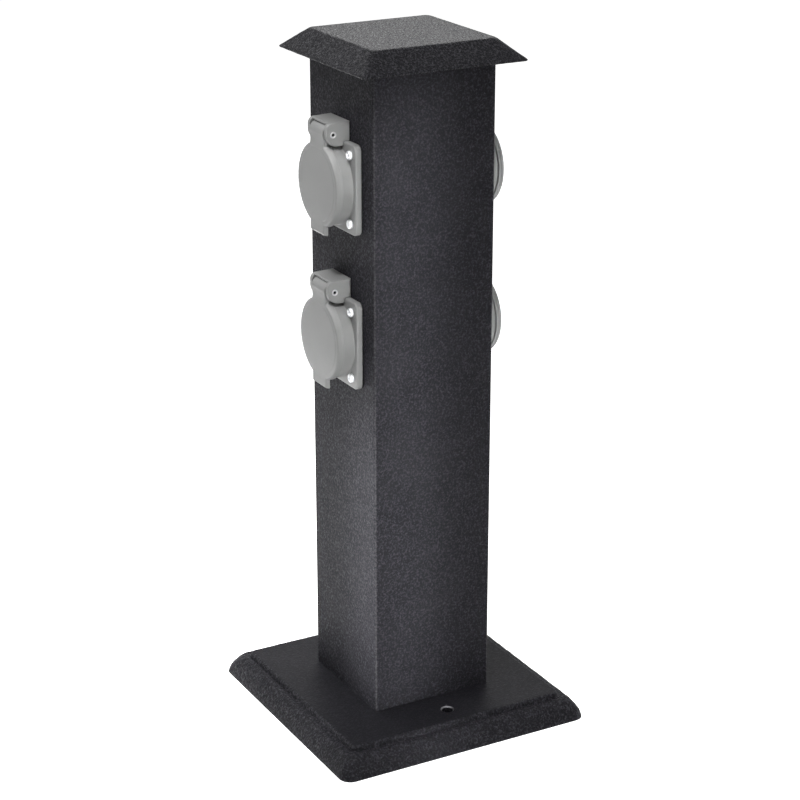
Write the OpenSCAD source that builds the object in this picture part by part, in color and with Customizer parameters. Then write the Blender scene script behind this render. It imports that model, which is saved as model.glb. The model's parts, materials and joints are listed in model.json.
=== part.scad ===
// Garden socket post: a cast base, a square tube and a cast cap, with two spring-lid panel
// sockets (type F, earthed, 16 A) on each of two opposite faces.
// Millimetres. Origin at the centre of the base's underside, +Z up, sockets on the -Y and +Y faces.

/* [Post] */
// Overall height, from the ground to the top of the cap
post_h = 400; // [360:5:520]
// Outer width of the square tube
tube_w = 75; // [68:1:90]
// Wall of the tube
tube_wall = 2; // [1.5:0.25:3]
// Outer corner radius of the tube
tube_corner_r = 1.6; // [0.8:0.2:3]
// Clearance of the spigots inside the tube, each side
spigot_clear = 0.3; // [0.1:0.05:0.6]

/* [Base] */
// Width of the square base
base_w = 160; // [150:2:200]
// Height of the base, up to its raised panel
base_h = 15; // [14:0.5:20]
// Corner radius of the base
base_corner_r = 9; // [8:0.5:14]
// Height of the upright lower edge
base_edge_h = 3; // [2:0.5:4]
// Height of the top of the convex edge
base_step_h = 11; // [10.5:0.25:12.5]
// Width of the convex edge
base_ovolo_w = 7.5; // [5:0.5:8]
// Width of the flat between the convex edge and the panel
base_flat_w = 3.2; // [1:0.2:5]
// Radius of the panel's upper edge
panel_edge_r = 2.4; // [1:0.2:3]
// Corner radius of the panel
panel_corner_r = 5; // [3.5:0.5:8]
// Thickness of the base's top plate
base_plate_t = 7; // [6:0.5:8]
// Width of the rim that the base stands on
base_rim_w = 12; // [10:0.5:16]
// Height of the ring that centres the tube
base_spigot_h = 6; // [3:0.5:9]
// Wall of the ring that centres the tube
base_spigot_wall = 2.5; // [2:0.25:3]
// Spacing of the two fixing holes
fixing_spacing = 110; // [100:1:116]
// Diameter of the fixing holes
fixing_hole_d = 6.5; // [4.5:0.25:8.5]
// Diameter of the bosses round the fixing holes
fixing_boss_d = 16; // [14:0.5:20]

/* [Cap] */
// Width of the cap at its lower edge
cap_w = 100; // [92:1:120]
// Width of the cap's flat top
cap_top_w = 75.5; // [60:0.5:80]
// Height of the cap
cap_h = 11.8; // [10:0.2:16]
// Height of the cap's upright lower edge
cap_edge_h = 0.8; // [0.4:0.1:2]
// Depth that the tube enters the cap
cap_seat = 2; // [1.5:0.25:3]
// Thickness of the gasket between tube and cap
cap_gasket_t = 1; // [0.5:0.1:1.5]
// Length of the cap's spigot inside the tube
cap_spigot_h = 9; // [6:0.5:14]
// Wall of the cap's spigot
cap_spigot_wall = 3.2; // [2.5:0.1:4]
// Thickness of the cap's top
cap_top_t = 4; // [3:0.25:5]

/* [Tie rods] */
// Distance of the tie rods' axes from the tube's inner wall
rod_set = 6.5; // [6:0.25:7.5]
// Diameter of the tie rods
rod_d = 5; // [4:0.5:5]
// Diametral clearance of the rods' holes in the base
rod_clear = 0.5; // [0.2:0.1:1]
// Clearance round the rods where they pass the bracket
rod_pass = 1; // [0.5:0.1:1.5]
// Diameter of the cap's rod bosses
rod_boss_d = 10; // [8.5:0.25:10.5]
// Width across flats of the rod nuts
rod_nut_af = 8; // [7.5:0.5:9]
// Height of the rod nuts
rod_nut_h = 4; // [3:0.2:4.4]
// Outer diameter of the rod washers
rod_washer_d = 12; // [10:0.5:15]
// Thickness of the rod washers
rod_washer_t = 1.2; // [0.8:0.1:1.6]
// Length of rod that stands out of its nut
rod_end = 0.8; // [0.4:0.1:1.2]
// Diametral clearance of screw threads, bolts and pins in their seats
thread_clear = 0.1; // [0.06:0.02:0.2]

/* [Sockets] */
// Distance of the upper sockets' centres below the top
upper_socket_drop = 78; // [70:1:90]
// Height between the upper and lower sockets
socket_pitch = 88; // [80:1:100]
// Width of the square flange
flange_w = 50; // [49:0.5:56]
// Thickness of the flange
flange_t = 3.5; // [2.5:0.1:5]
// Corner radius of the flange
flange_corner_r = 3.5; // [2:0.25:5]
// Spacing of the flange screws, across and down
flange_screw_spacing = 38; // [37.5:0.5:40]
// Thickness of the flange gasket
gasket_t = 0.8; // [0.5:0.1:1.5]
// Distance of the gasket's edge inside the flange's edge
gasket_inset = 0.3; // [0.2:0.1:1]
// Outer diameter of the round collar
collar_d = 43; // [42.6:0.2:46]
// Height of the collar above the flange
collar_h = 6.4; // [5:0.2:9]
// Diameter of the plug recess
recess_d = 39; // [38.5:0.1:39.4]
// Depth of the plug recess from the collar's rim
recess_depth = 17.5; // [16.5:0.25:18.5]
// Outer diameter of the barrel behind the flange
barrel_d = 42.8; // [42:0.2:43.2]
// Depth of the barrel behind the tube's face
barrel_depth = 12; // [11:0.25:14]
// Radial clearance of the barrel in the tube
barrel_clear = 0.35; // [0.2:0.05:0.6]
// Width of the two side ribs that guide the plug
rib_w = 4.4; // [3:0.2:5.4]
// Height of the side ribs off the recess wall
rib_h = 2.2; // [1:0.1:2.6]
// Distance of the ribs' ends below the collar's rim
rib_drop = 2.8; // [1.5:0.1:5]
// Width of the two snap arms that hold the contact carrier
snap_w = 6; // [4:0.5:8]
// Thickness of the snap arms' lips
snap_lip_t = 1.5; // [1:0.1:2]
// Catch of the snap arms' lips
snap_catch = 1.2; // [0.8:0.1:1.4]

/* [Flange screws] */
// Diameter of the flange screws
flange_screw_d = 3; // [2.5:0.1:3.2]
// Length of the flange screws under the head
flange_screw_l = 12.4; // [9:0.2:16]
// Diameter of the screw heads
flange_head_d = 6.4; // [5.5:0.1:6.6]
// Height of the screw heads
flange_head_h = 2.1; // [1.6:0.1:2.6]

/* [Lids] */
// Overhang of the lid beyond the collar
lid_overhang = 2.6; // [2:0.1:2.8]
// Gap between the collar's rim and the lid
lid_gap = 0.5; // [0.4:0.1:0.8]
// Thickness of the lid at its edge
lid_t = 3.8; // [3.4:0.1:5]
// Narrowing of the lid from its back to its face, each side
lid_taper = 0.8; // [0.2:0.1:1.2]
// Rise of the lid's slightly domed face
lid_dome = 0.5; // [0.2:0.1:0.6]
// Radius of the lid's front edge
lid_edge_r = 1.2; // [0.6:0.1:1.6]
// Wall of the lid's rim
lid_rim = 1.2; // [0.9:0.1:1.4]
// Depth of the hollow in the lid's back
lid_hollow = 1.2; // [0.8:0.1:1.4]
// Width of the lift tab
tab_w = 17; // [10:0.5:20]
// Reach of the lift tab beyond the lid's edge
tab_reach = 3.8; // [1:0.2:5]
// Thickness of the lift tab
tab_t = 2.2; // [1.6:0.1:2.6]
// Radial width of the lid seal
seal_w = 1.6; // [1.2:0.1:1.8]
// Depth of the seal's groove in the lid
seal_seat = 0.8; // [0.4:0.1:1]
// Clearance of the seal in its groove, each side
seal_clear = 0.1; // [0.05:0.05:0.2]
// Gap between the seal and the collar's rim when the lid is shut
seal_gap = 0.2; // [0.1:0.05:0.3]

/* [Hinges] */
// Diameter of the hinge pin
pin_d = 3.6; // [3:0.1:3.7]
// Diameter of the bore in the hollow hinge pin
pin_bore_d = 1.7; // [1:0.1:2]
// Diametral clearance of the pin in the ears
ear_pin_clear = 0.1; // [0.06:0.02:0.16]
// Diametral clearance of the pin in the lid
lid_pin_clear = 0.16; // [0.1:0.02:0.2]
// Distance of the pin's axis behind the collar's rim
hinge_setback = 0.4; // [0.2:0.1:0.6]
// Height of the pin's axis above the collar's rim
hinge_rise = 7.5; // [7.3:0.1:8.2]
// Diameter of the lid's hinge knuckle
knuckle_d = 8.6; // [8.4:0.1:8.8]
// Width of the lid's neck and knuckle
neck_w = 15.8; // [13:0.2:18]
// Thickness of the lid's neck
neck_t = 3.4; // [3.2:0.1:3.5]
// Side clearance between the neck and the ears
ear_clear = 0.3; // [0.2:0.05:0.6]
// Thickness of each ear
ear_t = 3; // [2:0.1:4]
// Cover of the ears in front of the pin's axis
ear_front = 4.2; // [3.6:0.1:4.4]
// Drop of the ears below the pin's axis
ear_drop = 6.6; // [6:0.1:6.8]
// Radius of the ears' upper front corner
brow_r = 3.6; // [2:0.1:4]
// Gap between the knuckle and the roof over it
roof_gap = 0.8; // [0.8:0.05:1.2]
// Thickness of the roof
roof_t = 1.5; // [1.2:0.1:3]
// Slope of the roof from back to front
roof_fall = 0.3; // [0:0.1:0.6]
// Reach of the roof in front of the pin's axis
roof_reach = 2.2; // [1:0.1:2.3]
// Thickness of the hinge block's back wall
hinge_wall_t = 2.2; // [1.6:0.1:3]
// Gap between the hinge block and the tube
hinge_wall_gap = 0.3; // [0.2:0.05:0.5]

/* [Lid springs] */
// Diameter of the spring wire
spring_wire_d = 0.6; // [0.5:0.05:0.7]
// Mean diameter of the spring's coil
spring_d = 5.2; // [5:0.1:5.4]
// Width of the coil along the pin
spring_w = 6.2; // [5.6:0.1:6.6]
// Full turns of the coil
spring_turns = 5; // [3:1:5]
// Clearance round the spring in the lid
spring_clear = 0.4; // [0.3:0.05:0.5]
// Length of the spring's leg into the lid's neck
spring_leg = 4.2; // [3.4:0.1:4.6]

/* [Contacts] */
// Spacing of the two plug pins
plug_pin_spacing = 19; // [18.5:0.1:19.5]
// Bore of the contact sleeves, for a 4.8 mm pin
sleeve_bore_d = 4.9; // [4.85:0.01:5]
// Outer diameter of the contact sleeves
sleeve_d = 6; // [5.8:0.1:6.6]
// Diametral clearance of the sleeves in the carrier
sleeve_clear = 0.2; // [0.1:0.05:0.4]
// Thickness of the carrier in front of the sleeves
carrier_face_t = 5.2; // [3:0.2:5.5]
// Radial clearance of the carrier in the barrel
carrier_clear = 0.1; // [0.06:0.02:0.2]
// Thickness of the carrier's shoulder
shoulder_t = 3; // [2:0.25:4]
// Diameter of the carrier behind its shoulder
carrier_d = 35; // [33:0.25:35]
// Gap between the terminals of opposite sockets
back_gap = 7; // [6:0.5:9]
// Width and height of the contacts' terminals
terminal_w = 8; // [7:0.25:9]
// Depth of the contacts' terminals
terminal_t = 6; // [5.6:0.1:6.4]
// Diameter of the terminals' clamp screws
clamp_screw_d = 2.8; // [2.4:0.1:3]
// Diameter of the clamp screws' heads
clamp_head_d = 5; // [4:0.1:5.4]
// Height of the clamp screws' heads
clamp_head_h = 1.6; // [1:0.1:1.8]
// Width of the earth clip's strip
clip_w = 4.5; // [3:0.1:5.5]
// Thickness of the earth clip's strip
clip_t = 0.8; // [0.5:0.05:0.9]
// Clearance of the earth clip's arms in the recess wall
clip_clear = 0.4; // [0.35:0.05:0.6]
// Clearance of the earth clip's arms in the carrier's slots
slot_clear = 0.2; // [0.1:0.05:0.3]
// Distance of the clip's tips below the collar's rim
clip_drop = 2.8; // [2:0.1:4]
// Length of the clip's bent tips
clip_tip = 5; // [4:0.1:6]
// Distance that the tips reach into the recess
clip_reach = 2.4; // [1.5:0.1:2.6]
// Width of the earth terminal
earth_terminal_w = 7; // [6:0.1:7.6]

/* [Wiring] */
// Diameter of the insulated wires
wire_d = 2.8; // [2.2:0.1:2.9]
// Diametral clearance of the wires in their terminals
wire_clear = 0.2; // [0.1:0.05:0.4]
// Distance of the wires behind the carrier
wire_set = 3.2; // [2.9:0.05:3.3]
// Length of wire inside each terminal
wire_grip = 7; // [6:0.25:8]
// Height of the terminal block's underside
block_z = 108; // [98:1:125]
// Height of the terminal block
block_h = 22; // [20:0.5:26]
// Cover of the terminal block over its bars, front and back
block_cover = 1.5; // [1:0.1:2.5]
// Wall of the terminal block beside its outer bars
block_side = 5.75; // [5.6:0.05:8]
// Width of the brass bars
bar_w = 5.5; // [5:0.1:6.5]
// Height of the brass bars
bar_h = 14; // [13.5:0.1:15]
// Distance of the bars above the block's underside
bar_set = 3; // [2:0.25:4]
// Cover of the bars in front of and behind their wires
bar_cover = 3.2; // [2.6:0.1:4]
// Clearance of the bars in the block, all round
bar_clear = 0.1; // [0.06:0.02:0.2]
// Diameter of the wire entries in the block
entry_d = 4; // [3.5:0.1:4.6]

/* [Bracket and earth] */
// Thickness of the bracket
bracket_t = 1.5; // [1:0.1:2]
// Reach of the bracket's foot
bracket_foot = 8.4; // [8:0.1:8.6]
// Diameter of the bracket's screws
bracket_screw_d = 3; // [2.5:0.1:3.5]
// Diameter of the bracket screws' heads
bracket_head_d = 5.6; // [5:0.1:6]
// Height of the bracket screws' heads
bracket_head_h = 2; // [1.5:0.1:2.5]
// Length of the bracket's screws in the base and in the block
bracket_grip = 4.6; // [3:0.1:5]
// Spacing of the bracket's screws
bracket_screw_spacing = 12; // [10:0.5:14]
// Height of the earth screw
earth_z = 46; // [44:1:60]
// Diameter of the earth screw
earth_screw_d = 4; // [3:0.1:4.5]
// Diameter of the earth lug's ring
lug_d = 9; // [8:0.25:10]
// Thickness of the earth lug
lug_t = 1; // [0.8:0.1:1.4]
// Length of the lug's barrel
lug_barrel_h = 7; // [5:0.25:10]

/* [Cable gland] */
// Diameter of the gland's thread
gland_d = 16; // [14:0.5:17]
// Diametral clearance of the gland in the base
gland_clear = 0.3; // [0.2:0.05:0.6]
// Width across flats of the gland and its nuts
gland_af = 22; // [21:0.5:24]
// Height of the gland's hexagon
gland_hex_h = 5; // [4:0.25:7]
// Height of the gland's neck above the hexagon
gland_neck_h = 8; // [6:0.25:10]
// Diameter of the cable bore
cable_bore_d = 10; // [8:0.25:10.5]
// Wall of the gland's seal
gland_seal_wall = 1.8; // [1.4:0.1:2]
// Height of the dome nut
dome_nut_h = 12; // [11:0.25:15]
// Height of the lock nut
lock_nut_h = 4.6; // [3:0.2:5]

/* [Hidden] */
$fn = 64;
eps = 0.5;

// Sockets as [name, side, height of its centre]
upper_z = post_h - upper_socket_drop;
lower_z = upper_z - socket_pitch;
FRONT = 0;
REAR = 180;
SOCKETS = [
    ["front_upper", FRONT, upper_z],
    ["front_lower", FRONT, lower_z],
    ["rear_upper", REAR, upper_z],
    ["rear_lower", REAR, lower_z],
];
FACES = [FRONT, REAR];

// Depths outward from the tube's face
flange_face = gasket_t + flange_t;
collar_face = flange_face + collar_h;
lid_back = collar_face + lid_gap;
lid_face = lid_back + lid_t;
lid_floor = lid_back + lid_hollow;
recess_floor = collar_face - recess_depth;
sleeve_front = recess_floor - carrier_face_t;
terminal_back = back_gap / 2 - tube_w / 2;
carrier_depth = -terminal_back - terminal_t;
wire_out = -carrier_depth - wire_set;

// Radii
collar_r = collar_d / 2;
recess_r = recess_d / 2;
barrel_r = barrel_d / 2;
lid_r = collar_r + lid_overhang;
hollow_r = lid_r - lid_rim;
seal_r = (recess_r + collar_r + seal_w) / 2;
knuckle_r = knuckle_d / 2;
spring_r = spring_d / 2;
spring_room_r = spring_r + spring_wire_d / 2 + spring_clear;
wire_r = wire_d / 2;
wire_hole_r = (wire_d + wire_clear) / 2;
gland_r = gland_d / 2;
cable_r = cable_bore_d / 2;

// Hinge axis, outward from the tube's face and up from the socket's centre
hinge_out = collar_face - hinge_setback;
hinge_up = collar_r + hinge_rise;
ear_in = neck_w / 2 + ear_clear;
ear_out = ear_in + ear_t;
roof_z = hinge_up + knuckle_r + roof_gap;
spring_room = spring_w / 2 + spring_wire_d / 2 + ear_clear;

// Post
base_cavity_h = base_h - base_plate_t;
base_panel_w = base_w - 2 * (base_ovolo_w + base_flat_w);
tube_bore = tube_w - 2 * tube_wall;
cap_z = post_h - cap_h;
tube_top = cap_z + cap_seat;
cap_ceiling = tube_top + cap_gasket_t;
base_spigot_w = tube_bore - 2 * spigot_clear;
cap_spigot_w = tube_bore - 2 * spigot_clear;
rod_x = tube_bore / 2 - rod_set;
rod_top = post_h - cap_top_t - 3;
rod_washer_z = base_cavity_h - rod_washer_t;
rod_nut_z = rod_washer_z - rod_nut_h;

// Wiring
pole_x = plug_pin_spacing / 2;
POLES = [-pole_x, 0, pole_x];
wire_y = tube_w / 2 + wire_out;
bar_half = wire_y + bar_cover;
bar_z = block_z + bar_set;
block_half_x = pole_x + bar_w / 2 + block_side;
block_half_y = bar_half + block_cover;
block_top = block_z + block_h;
bar_screw_z = [bar_z + bar_h / 4 - 0.3, bar_z + 3 * bar_h / 4 - 0.3];
bar_hole_depth = bar_h / 2 - 0.6;

// Bracket and earth
bracket_x = block_half_x;
lug_axis_x = bracket_x - lug_t / 2 - wire_d / 2 - 0.9;
lug_barrel_z = earth_z + lug_d / 2;
link_r = wire_r;

STRUCTURE = [
    "base_plate", "post_tube", "cap", "cap_gasket", "tie_rods", "tie_rod_nuts", "tie_rod_washers",
    "gland_body", "gland_seal", "gland_dome_nut", "gland_lock_nut",
    "terminal_bracket", "bracket_screws", "terminal_block", "terminal_bars", "terminal_screws",
    "earth_screw", "earth_lug", "earth_link_wire",
    "line_wires", "neutral_wires", "earth_wires", "flange_screws", "contact_terminal_screws",
];
SOCKET_PARTS = [
    "housing", "flange_gasket", "lid", "lid_seal", "hinge_pin", "lid_spring",
    "contact_carrier", "live_contacts", "earth_clip",
];

COATED = [0.2, 0.2, 0.22];
GREY = [0.62, 0.63, 0.64];
DARK_RUBBER = [0.15, 0.15, 0.15];
ZINC = [0.78, 0.79, 0.8];
BRASS = [0.8, 0.65, 0.3];
COPPER = [0.75, 0.47, 0.3];
IVORY = [0.85, 0.83, 0.76];

// Points of an arc from angle a0 to a1
function arc(x, y, r, a0, a1, n = 8) =
    [for (i = [0:n]) let (a = a0 + (a1 - a0) * i / n) [x + r * cos(a), y + r * sin(a)]];

function unit(v) = v / norm(v);

// Triangles of a closed round tube along points that stay square to the axis ref
module sweep(points, r, ref, sides = 6) {
    last = len(points) - 1;
    rings = [
        for (i = [0:last])
            let (t = unit(points[min(i + 1, last)] - points[max(i - 1, 0)]))
            let (u = unit(cross(t, ref)), v = cross(t, u))
            for (k = [0:sides - 1]) points[i] + r * (cos(360 * k / sides) * u + sin(360 * k / sides) * v)
    ];
    walls = [
        for (i = [0:last - 1], k = [0:sides - 1])
            let (a = i * sides + k, b = i * sides + (k + 1) % sides)
            each [[a, a + sides, b], [b, a + sides, b + sides]]
    ];
    near = [for (k = [1:sides - 2]) [0, k, k + 1]];
    far = [for (k = [1:sides - 2]) [last * sides, last * sides + k + 1, last * sides + k]];
    polyhedron(rings, concat(walls, near, far));
}

module rounded_square(w, r) {
    square([w - 2 * r, w], center = true);
    square([w, w - 2 * r], center = true);
    for (x = [-1, 1], y = [-1, 1]) translate([x, y] * (w / 2 - r)) circle(r);
}

module square_ring(w, wall) {
    difference() {
        square(w, center = true);
        square(w - 2 * wall, center = true);
    }
}

// Copies at the four corners of a square pattern
module at_corners(spacing) {
    for (x = [-1, 1], y = [-1, 1]) translate([x, y] * spacing / 2) children();
}

// A square with rounded corners whose edge follows profile, points of [inset, height] from the bottom up
module moulded_square(half, r, profile) {
    low = profile[0][1];
    high = profile[len(profile) - 1][1];
    outline = concat([[0, low]], [for (p = profile) [r - p[0], p[1]]], [[0, high]]);
    run = 2 * (half - r);
    translate([0, 0, low]) linear_extrude(high - low) square(run, center = true);
    for (a = [0:90:270]) rotate(a) {
        translate([half - r, run / 2, 0]) rotate([90, 0, 0]) linear_extrude(run) polygon(outline);
        translate([half - r, half - r, 0]) rotate_extrude(angle = 90) polygon(outline);
    }
}

// A square body whose front and side views are both the outline of [across, height] points
module hipped(outline, depth) {
    intersection() {
        translate([0, depth / 2, 0]) rotate([90, 0, 0]) linear_extrude(depth) polygon(outline);
        translate([-depth / 2, 0, 0]) rotate([90, 0, 90]) linear_extrude(depth) polygon(outline);
    }
}

module hexagon(af, h, z) {
    translate([0, 0, z]) cylinder(d = af / cos(30), h = h, $fn = 6);
}

// Places children on one socket: x across, z up, outward along -y from the tube's face
module on_face(side, z = 0) {
    rotate(side) translate([0, -tube_w / 2, z]) children();
}

// Extrudes an [x, z] outline outward from depth d0 to depth d1
module outward(d0, d1) {
    translate([0, -d0, 0]) rotate([90, 0, 0]) linear_extrude(d1 - d0) children();
}

// Turns a [radius, depth] outline about the socket's axis
module turned() {
    rotate([90, 0, 0]) rotate_extrude() children();
}

// Extrudes a [depth, z] outline across the socket from x0 to x1
module across(x0, x1) {
    translate([x0, 0, 0]) mirror([0, 1, 0]) rotate([90, 0, 90]) linear_extrude(x1 - x0) children();
}

// A bar along x about the hinge axis
module on_hinge(r, x0, x1) {
    translate([x0, -hinge_out, hinge_up]) rotate([0, 90, 0]) cylinder(r = r, h = x1 - x0);
}

module base_plate() {
    ovolo_h = base_step_h - base_edge_h;
    ovolo = [for (a = [0:10:90]) [base_ovolo_w * (1 - cos(a)), base_edge_h + ovolo_h * sin(a)]];
    edge = concat([[0, 0]], ovolo);
    panel = concat(
        [[0, base_step_h - 1]],
        [for (a = [0:15:90]) [panel_edge_r * (1 - cos(a)), base_h - panel_edge_r * (1 - sin(a))]]
    );
    color(COATED) difference() {
        union() {
            difference() {
                union() {
                    moulded_square(base_w / 2, base_corner_r, edge);
                    moulded_square(base_panel_w / 2, panel_corner_r, panel);
                }
                translate([0, 0, -1]) linear_extrude(base_cavity_h + 1)
                    square(base_w - 2 * base_rim_w, center = true);
            }
            translate([0, 0, base_h - 1]) linear_extrude(base_spigot_h + 1)
                square_ring(base_spigot_w, base_spigot_wall);
            for (x = [-1, 1]) translate([x * fixing_spacing / 2, 0, 0])
                cylinder(d = fixing_boss_d, h = base_cavity_h + 1);
        }
        for (x = [-1, 1]) {
            translate([x * fixing_spacing / 2, 0, -1]) cylinder(d = fixing_hole_d, h = base_h + 2);
            translate([x * rod_x, 0, 0]) cylinder(d = rod_d + rod_clear, h = base_h + 1);
        }
        cylinder(d = gland_d + gland_clear, h = base_h + 1);
        at_bracket_screws() translate([0, 0, base_h - bracket_grip - eps])
            cylinder(d = bracket_screw_d + thread_clear, h = base_h);
    }
}

module post_tube() {
    color(COATED) difference() {
        translate([0, 0, base_h]) linear_extrude(tube_top - base_h) difference() {
            rounded_square(tube_w, tube_corner_r);
            square(tube_bore, center = true);
        }
        for (s = SOCKETS) on_face(s[1], s[2]) outward(-tube_wall - 1, 1) {
            circle(barrel_r + barrel_clear);
            at_corners(flange_screw_spacing) circle(d = flange_screw_d + thread_clear);
        }
    }
}

module cap() {
    half = cap_w / 2;
    top = cap_top_w / 2;
    outline = [
        [-half, cap_z], [half, cap_z], [half, cap_z + cap_edge_h],
        [top, post_h], [-top, post_h], [-half, cap_z + cap_edge_h]
    ];
    spigot_z = tube_top - cap_spigot_h;
    color(COATED) difference() {
        union() {
            difference() {
                hipped(outline, cap_w + 2);
                translate([0, 0, cap_z - 1]) linear_extrude(cap_ceiling - cap_z + 1)
                    square(tube_w + 2 * spigot_clear, center = true);
                translate([0, 0, cap_z - 1]) linear_extrude(post_h - cap_top_t - cap_z + 1)
                    square(cap_spigot_w - 2 * cap_spigot_wall, center = true);
            }
            translate([0, 0, spigot_z]) linear_extrude(cap_ceiling - spigot_z + 1)
                square_ring(cap_spigot_w, cap_spigot_wall);
            for (x = [-1, 1]) translate([x * rod_x, 0, spigot_z])
                cylinder(d = rod_boss_d, h = post_h - cap_top_t + 1 - spigot_z);
        }
        for (x = [-1, 1]) translate([x * rod_x, 0, spigot_z - 1])
            cylinder(d = rod_d + thread_clear, h = rod_top + eps - spigot_z + 1);
    }
}

module cap_gasket() {
    color(DARK_RUBBER) translate([0, 0, tube_top]) linear_extrude(cap_gasket_t) difference() {
        square(tube_w, center = true);
        square(cap_spigot_w + 2 * spigot_clear, center = true);
    }
}

module tie_rods() {
    color(ZINC) for (x = [-1, 1]) translate([x * rod_x, 0, rod_nut_z - rod_end])
        cylinder(d = rod_d, h = rod_top - rod_nut_z + rod_end);
}

module tie_rod_nuts() {
    color(ZINC) for (x = [-1, 1]) translate([x * rod_x, 0, 0]) difference() {
        hexagon(rod_nut_af, rod_nut_h, rod_nut_z);
        cylinder(d = rod_d + thread_clear, h = base_h);
    }
}

module tie_rod_washers() {
    color(ZINC) for (x = [-1, 1]) translate([x * rod_x, 0, rod_washer_z])
        linear_extrude(rod_washer_t) difference() {
            circle(d = rod_washer_d);
            circle(d = rod_d + rod_clear);
        }
}

module gland_body() {
    lock_z = base_cavity_h - lock_nut_h;
    neck_z = base_h + gland_hex_h;
    color(DARK_RUBBER) difference() {
        union() {
            translate([0, 0, lock_z - 1]) cylinder(r = gland_r, h = neck_z + gland_neck_h - lock_z + 1);
            hexagon(gland_af, gland_hex_h, base_h);
        }
        translate([0, 0, lock_z - 2]) cylinder(r = cable_r, h = neck_z + gland_neck_h - lock_z + 3);
        translate([0, 0, neck_z + 2]) cylinder(r = cable_r + gland_seal_wall - 0.4, h = gland_neck_h);
    }
}

module gland_seal() {
    seal_z = base_h + gland_hex_h + 2;
    color(DARK_RUBBER) translate([0, 0, seal_z]) linear_extrude(gland_neck_h - 2 + 1) difference() {
        circle(cable_r + gland_seal_wall - 0.5);
        circle(cable_r - 0.4);
    }
}

module gland_dome_nut() {
    nut_z = base_h + gland_hex_h + 0.4;
    bell_h = gland_neck_h + 1;
    hex_h = dome_nut_h - 4;
    top_r = gland_af / 2 - 2;
    color(DARK_RUBBER) translate([0, 0, nut_z]) difference() {
        union() {
            hexagon(gland_af, hex_h, 0);
            rotate_extrude() polygon(concat(
                [[0, hex_h - 1], [top_r, hex_h - 1]],
                arc(top_r - 4, hex_h, 4, 0, 90),
                [[0, hex_h + 4]]
            ));
        }
        translate([0, 0, -1]) cylinder(d = gland_d + gland_clear, h = bell_h + 1);
        cylinder(r = cable_r, h = dome_nut_h + 1);
    }
}

module gland_lock_nut() {
    color(DARK_RUBBER) difference() {
        hexagon(gland_af, lock_nut_h, base_cavity_h - lock_nut_h);
        cylinder(d = gland_d + thread_clear, h = base_h);
    }
}

// Places of the screws in the bracket's foot
module at_bracket_screws() {
    for (y = [-1, 1])
        translate([bracket_x + bracket_t + bracket_foot / 2, y * bracket_screw_spacing / 2, 0]) children();
}

// Places of the screws from the bracket into the terminal block, pointing along -x
module at_block_screws() {
    for (y = [-1, 1])
        translate([bracket_x + bracket_t, y * bracket_screw_spacing / 2, block_z + block_h / 2])
            rotate([0, -90, 0]) children();
}

// The earth screw, pointing along +x from the lug's outer face
module at_earth_screw() {
    translate([bracket_x - lug_t, wire_y, earth_z]) rotate([0, 90, 0]) children();
}

// A pan-head screw that points along +z, with its head below z = 0
module pan_screw(d, l, head_d, head_h) {
    r = head_d / 2;
    difference() {
        rotate_extrude() polygon(concat(
            [[0, l], [d / 2, l], [d / 2, 0], [r, 0]],
            [for (a = [0:15:90]) [r - 0.3 * r * (1 - cos(a)), -head_h * (0.4 + 0.6 * sin(a))]],
            [[0, -head_h]]
        ));
        for (a = [0, 90]) rotate(a) translate([0, 0, -head_h])
            cube([1.1 * r, 0.28 * r, head_h], center = true);
    }
}

module terminal_bracket() {
    half = block_half_y;
    color(ZINC) difference() {
        union() {
            translate([bracket_x, -half, base_h]) cube([bracket_t, 2 * half, block_top - base_h]);
            translate([bracket_x, -half, base_h]) cube([bracket_t + bracket_foot, 2 * half, bracket_t]);
        }
        at_bracket_screws() cylinder(d = bracket_screw_d + thread_clear, h = base_h + 5);
        translate([rod_x, 0, 0]) cylinder(r = rod_d / 2 + rod_pass, h = base_h + 5);
        at_block_screws() translate([0, 0, -1])
            cylinder(d = bracket_screw_d + thread_clear, h = bracket_t + 2);
        at_earth_screw() cylinder(d = earth_screw_d + thread_clear, h = bracket_t + lug_t + 1);
    }
}

module bracket_screws() {
    color(ZINC) {
        at_bracket_screws() translate([0, 0, base_h + bracket_t]) rotate([180, 0, 0])
            pan_screw(bracket_screw_d, bracket_grip + bracket_t, bracket_head_d, bracket_head_h);
        at_block_screws()
            pan_screw(bracket_screw_d, bracket_grip + bracket_t, bracket_head_d, bracket_head_h);
    }
}

// Wire places in the terminal block: over and under each bar, near its front and back
module at_bar_wires() {
    for (x = POLES, y = [-1, 1]) translate([x, y * wire_y, 0]) children();
}

// Clamp screws of the bars, pointing at the wires from the front and from the back
module at_bar_screws() {
    for (x = POLES, side = FACES, z = bar_screw_z)
        rotate(side) translate([x, -bar_half, z]) rotate([-90, 0, 0]) children();
}

module terminal_block() {
    c = bar_clear;
    color(IVORY) difference() {
        translate([-block_half_x, -block_half_y, block_z])
            cube([2 * block_half_x, 2 * block_half_y, block_h]);
        for (x = POLES) translate([x - bar_w / 2 - c, -bar_half - c, block_z - 1])
            cube([bar_w + 2 * c, 2 * (bar_half + c), bar_set + bar_h + 1 + c]);
        at_bar_wires() translate([0, 0, bar_z]) cylinder(d = entry_d, h = block_h);
        at_bar_screws() translate([0, 0, -block_cover - 1])
            cylinder(d = clamp_head_d - 0.6, h = block_cover + 1 + eps);
        at_block_screws() cylinder(d = bracket_screw_d + thread_clear, h = bracket_t + bracket_grip + eps);
    }
}

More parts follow.
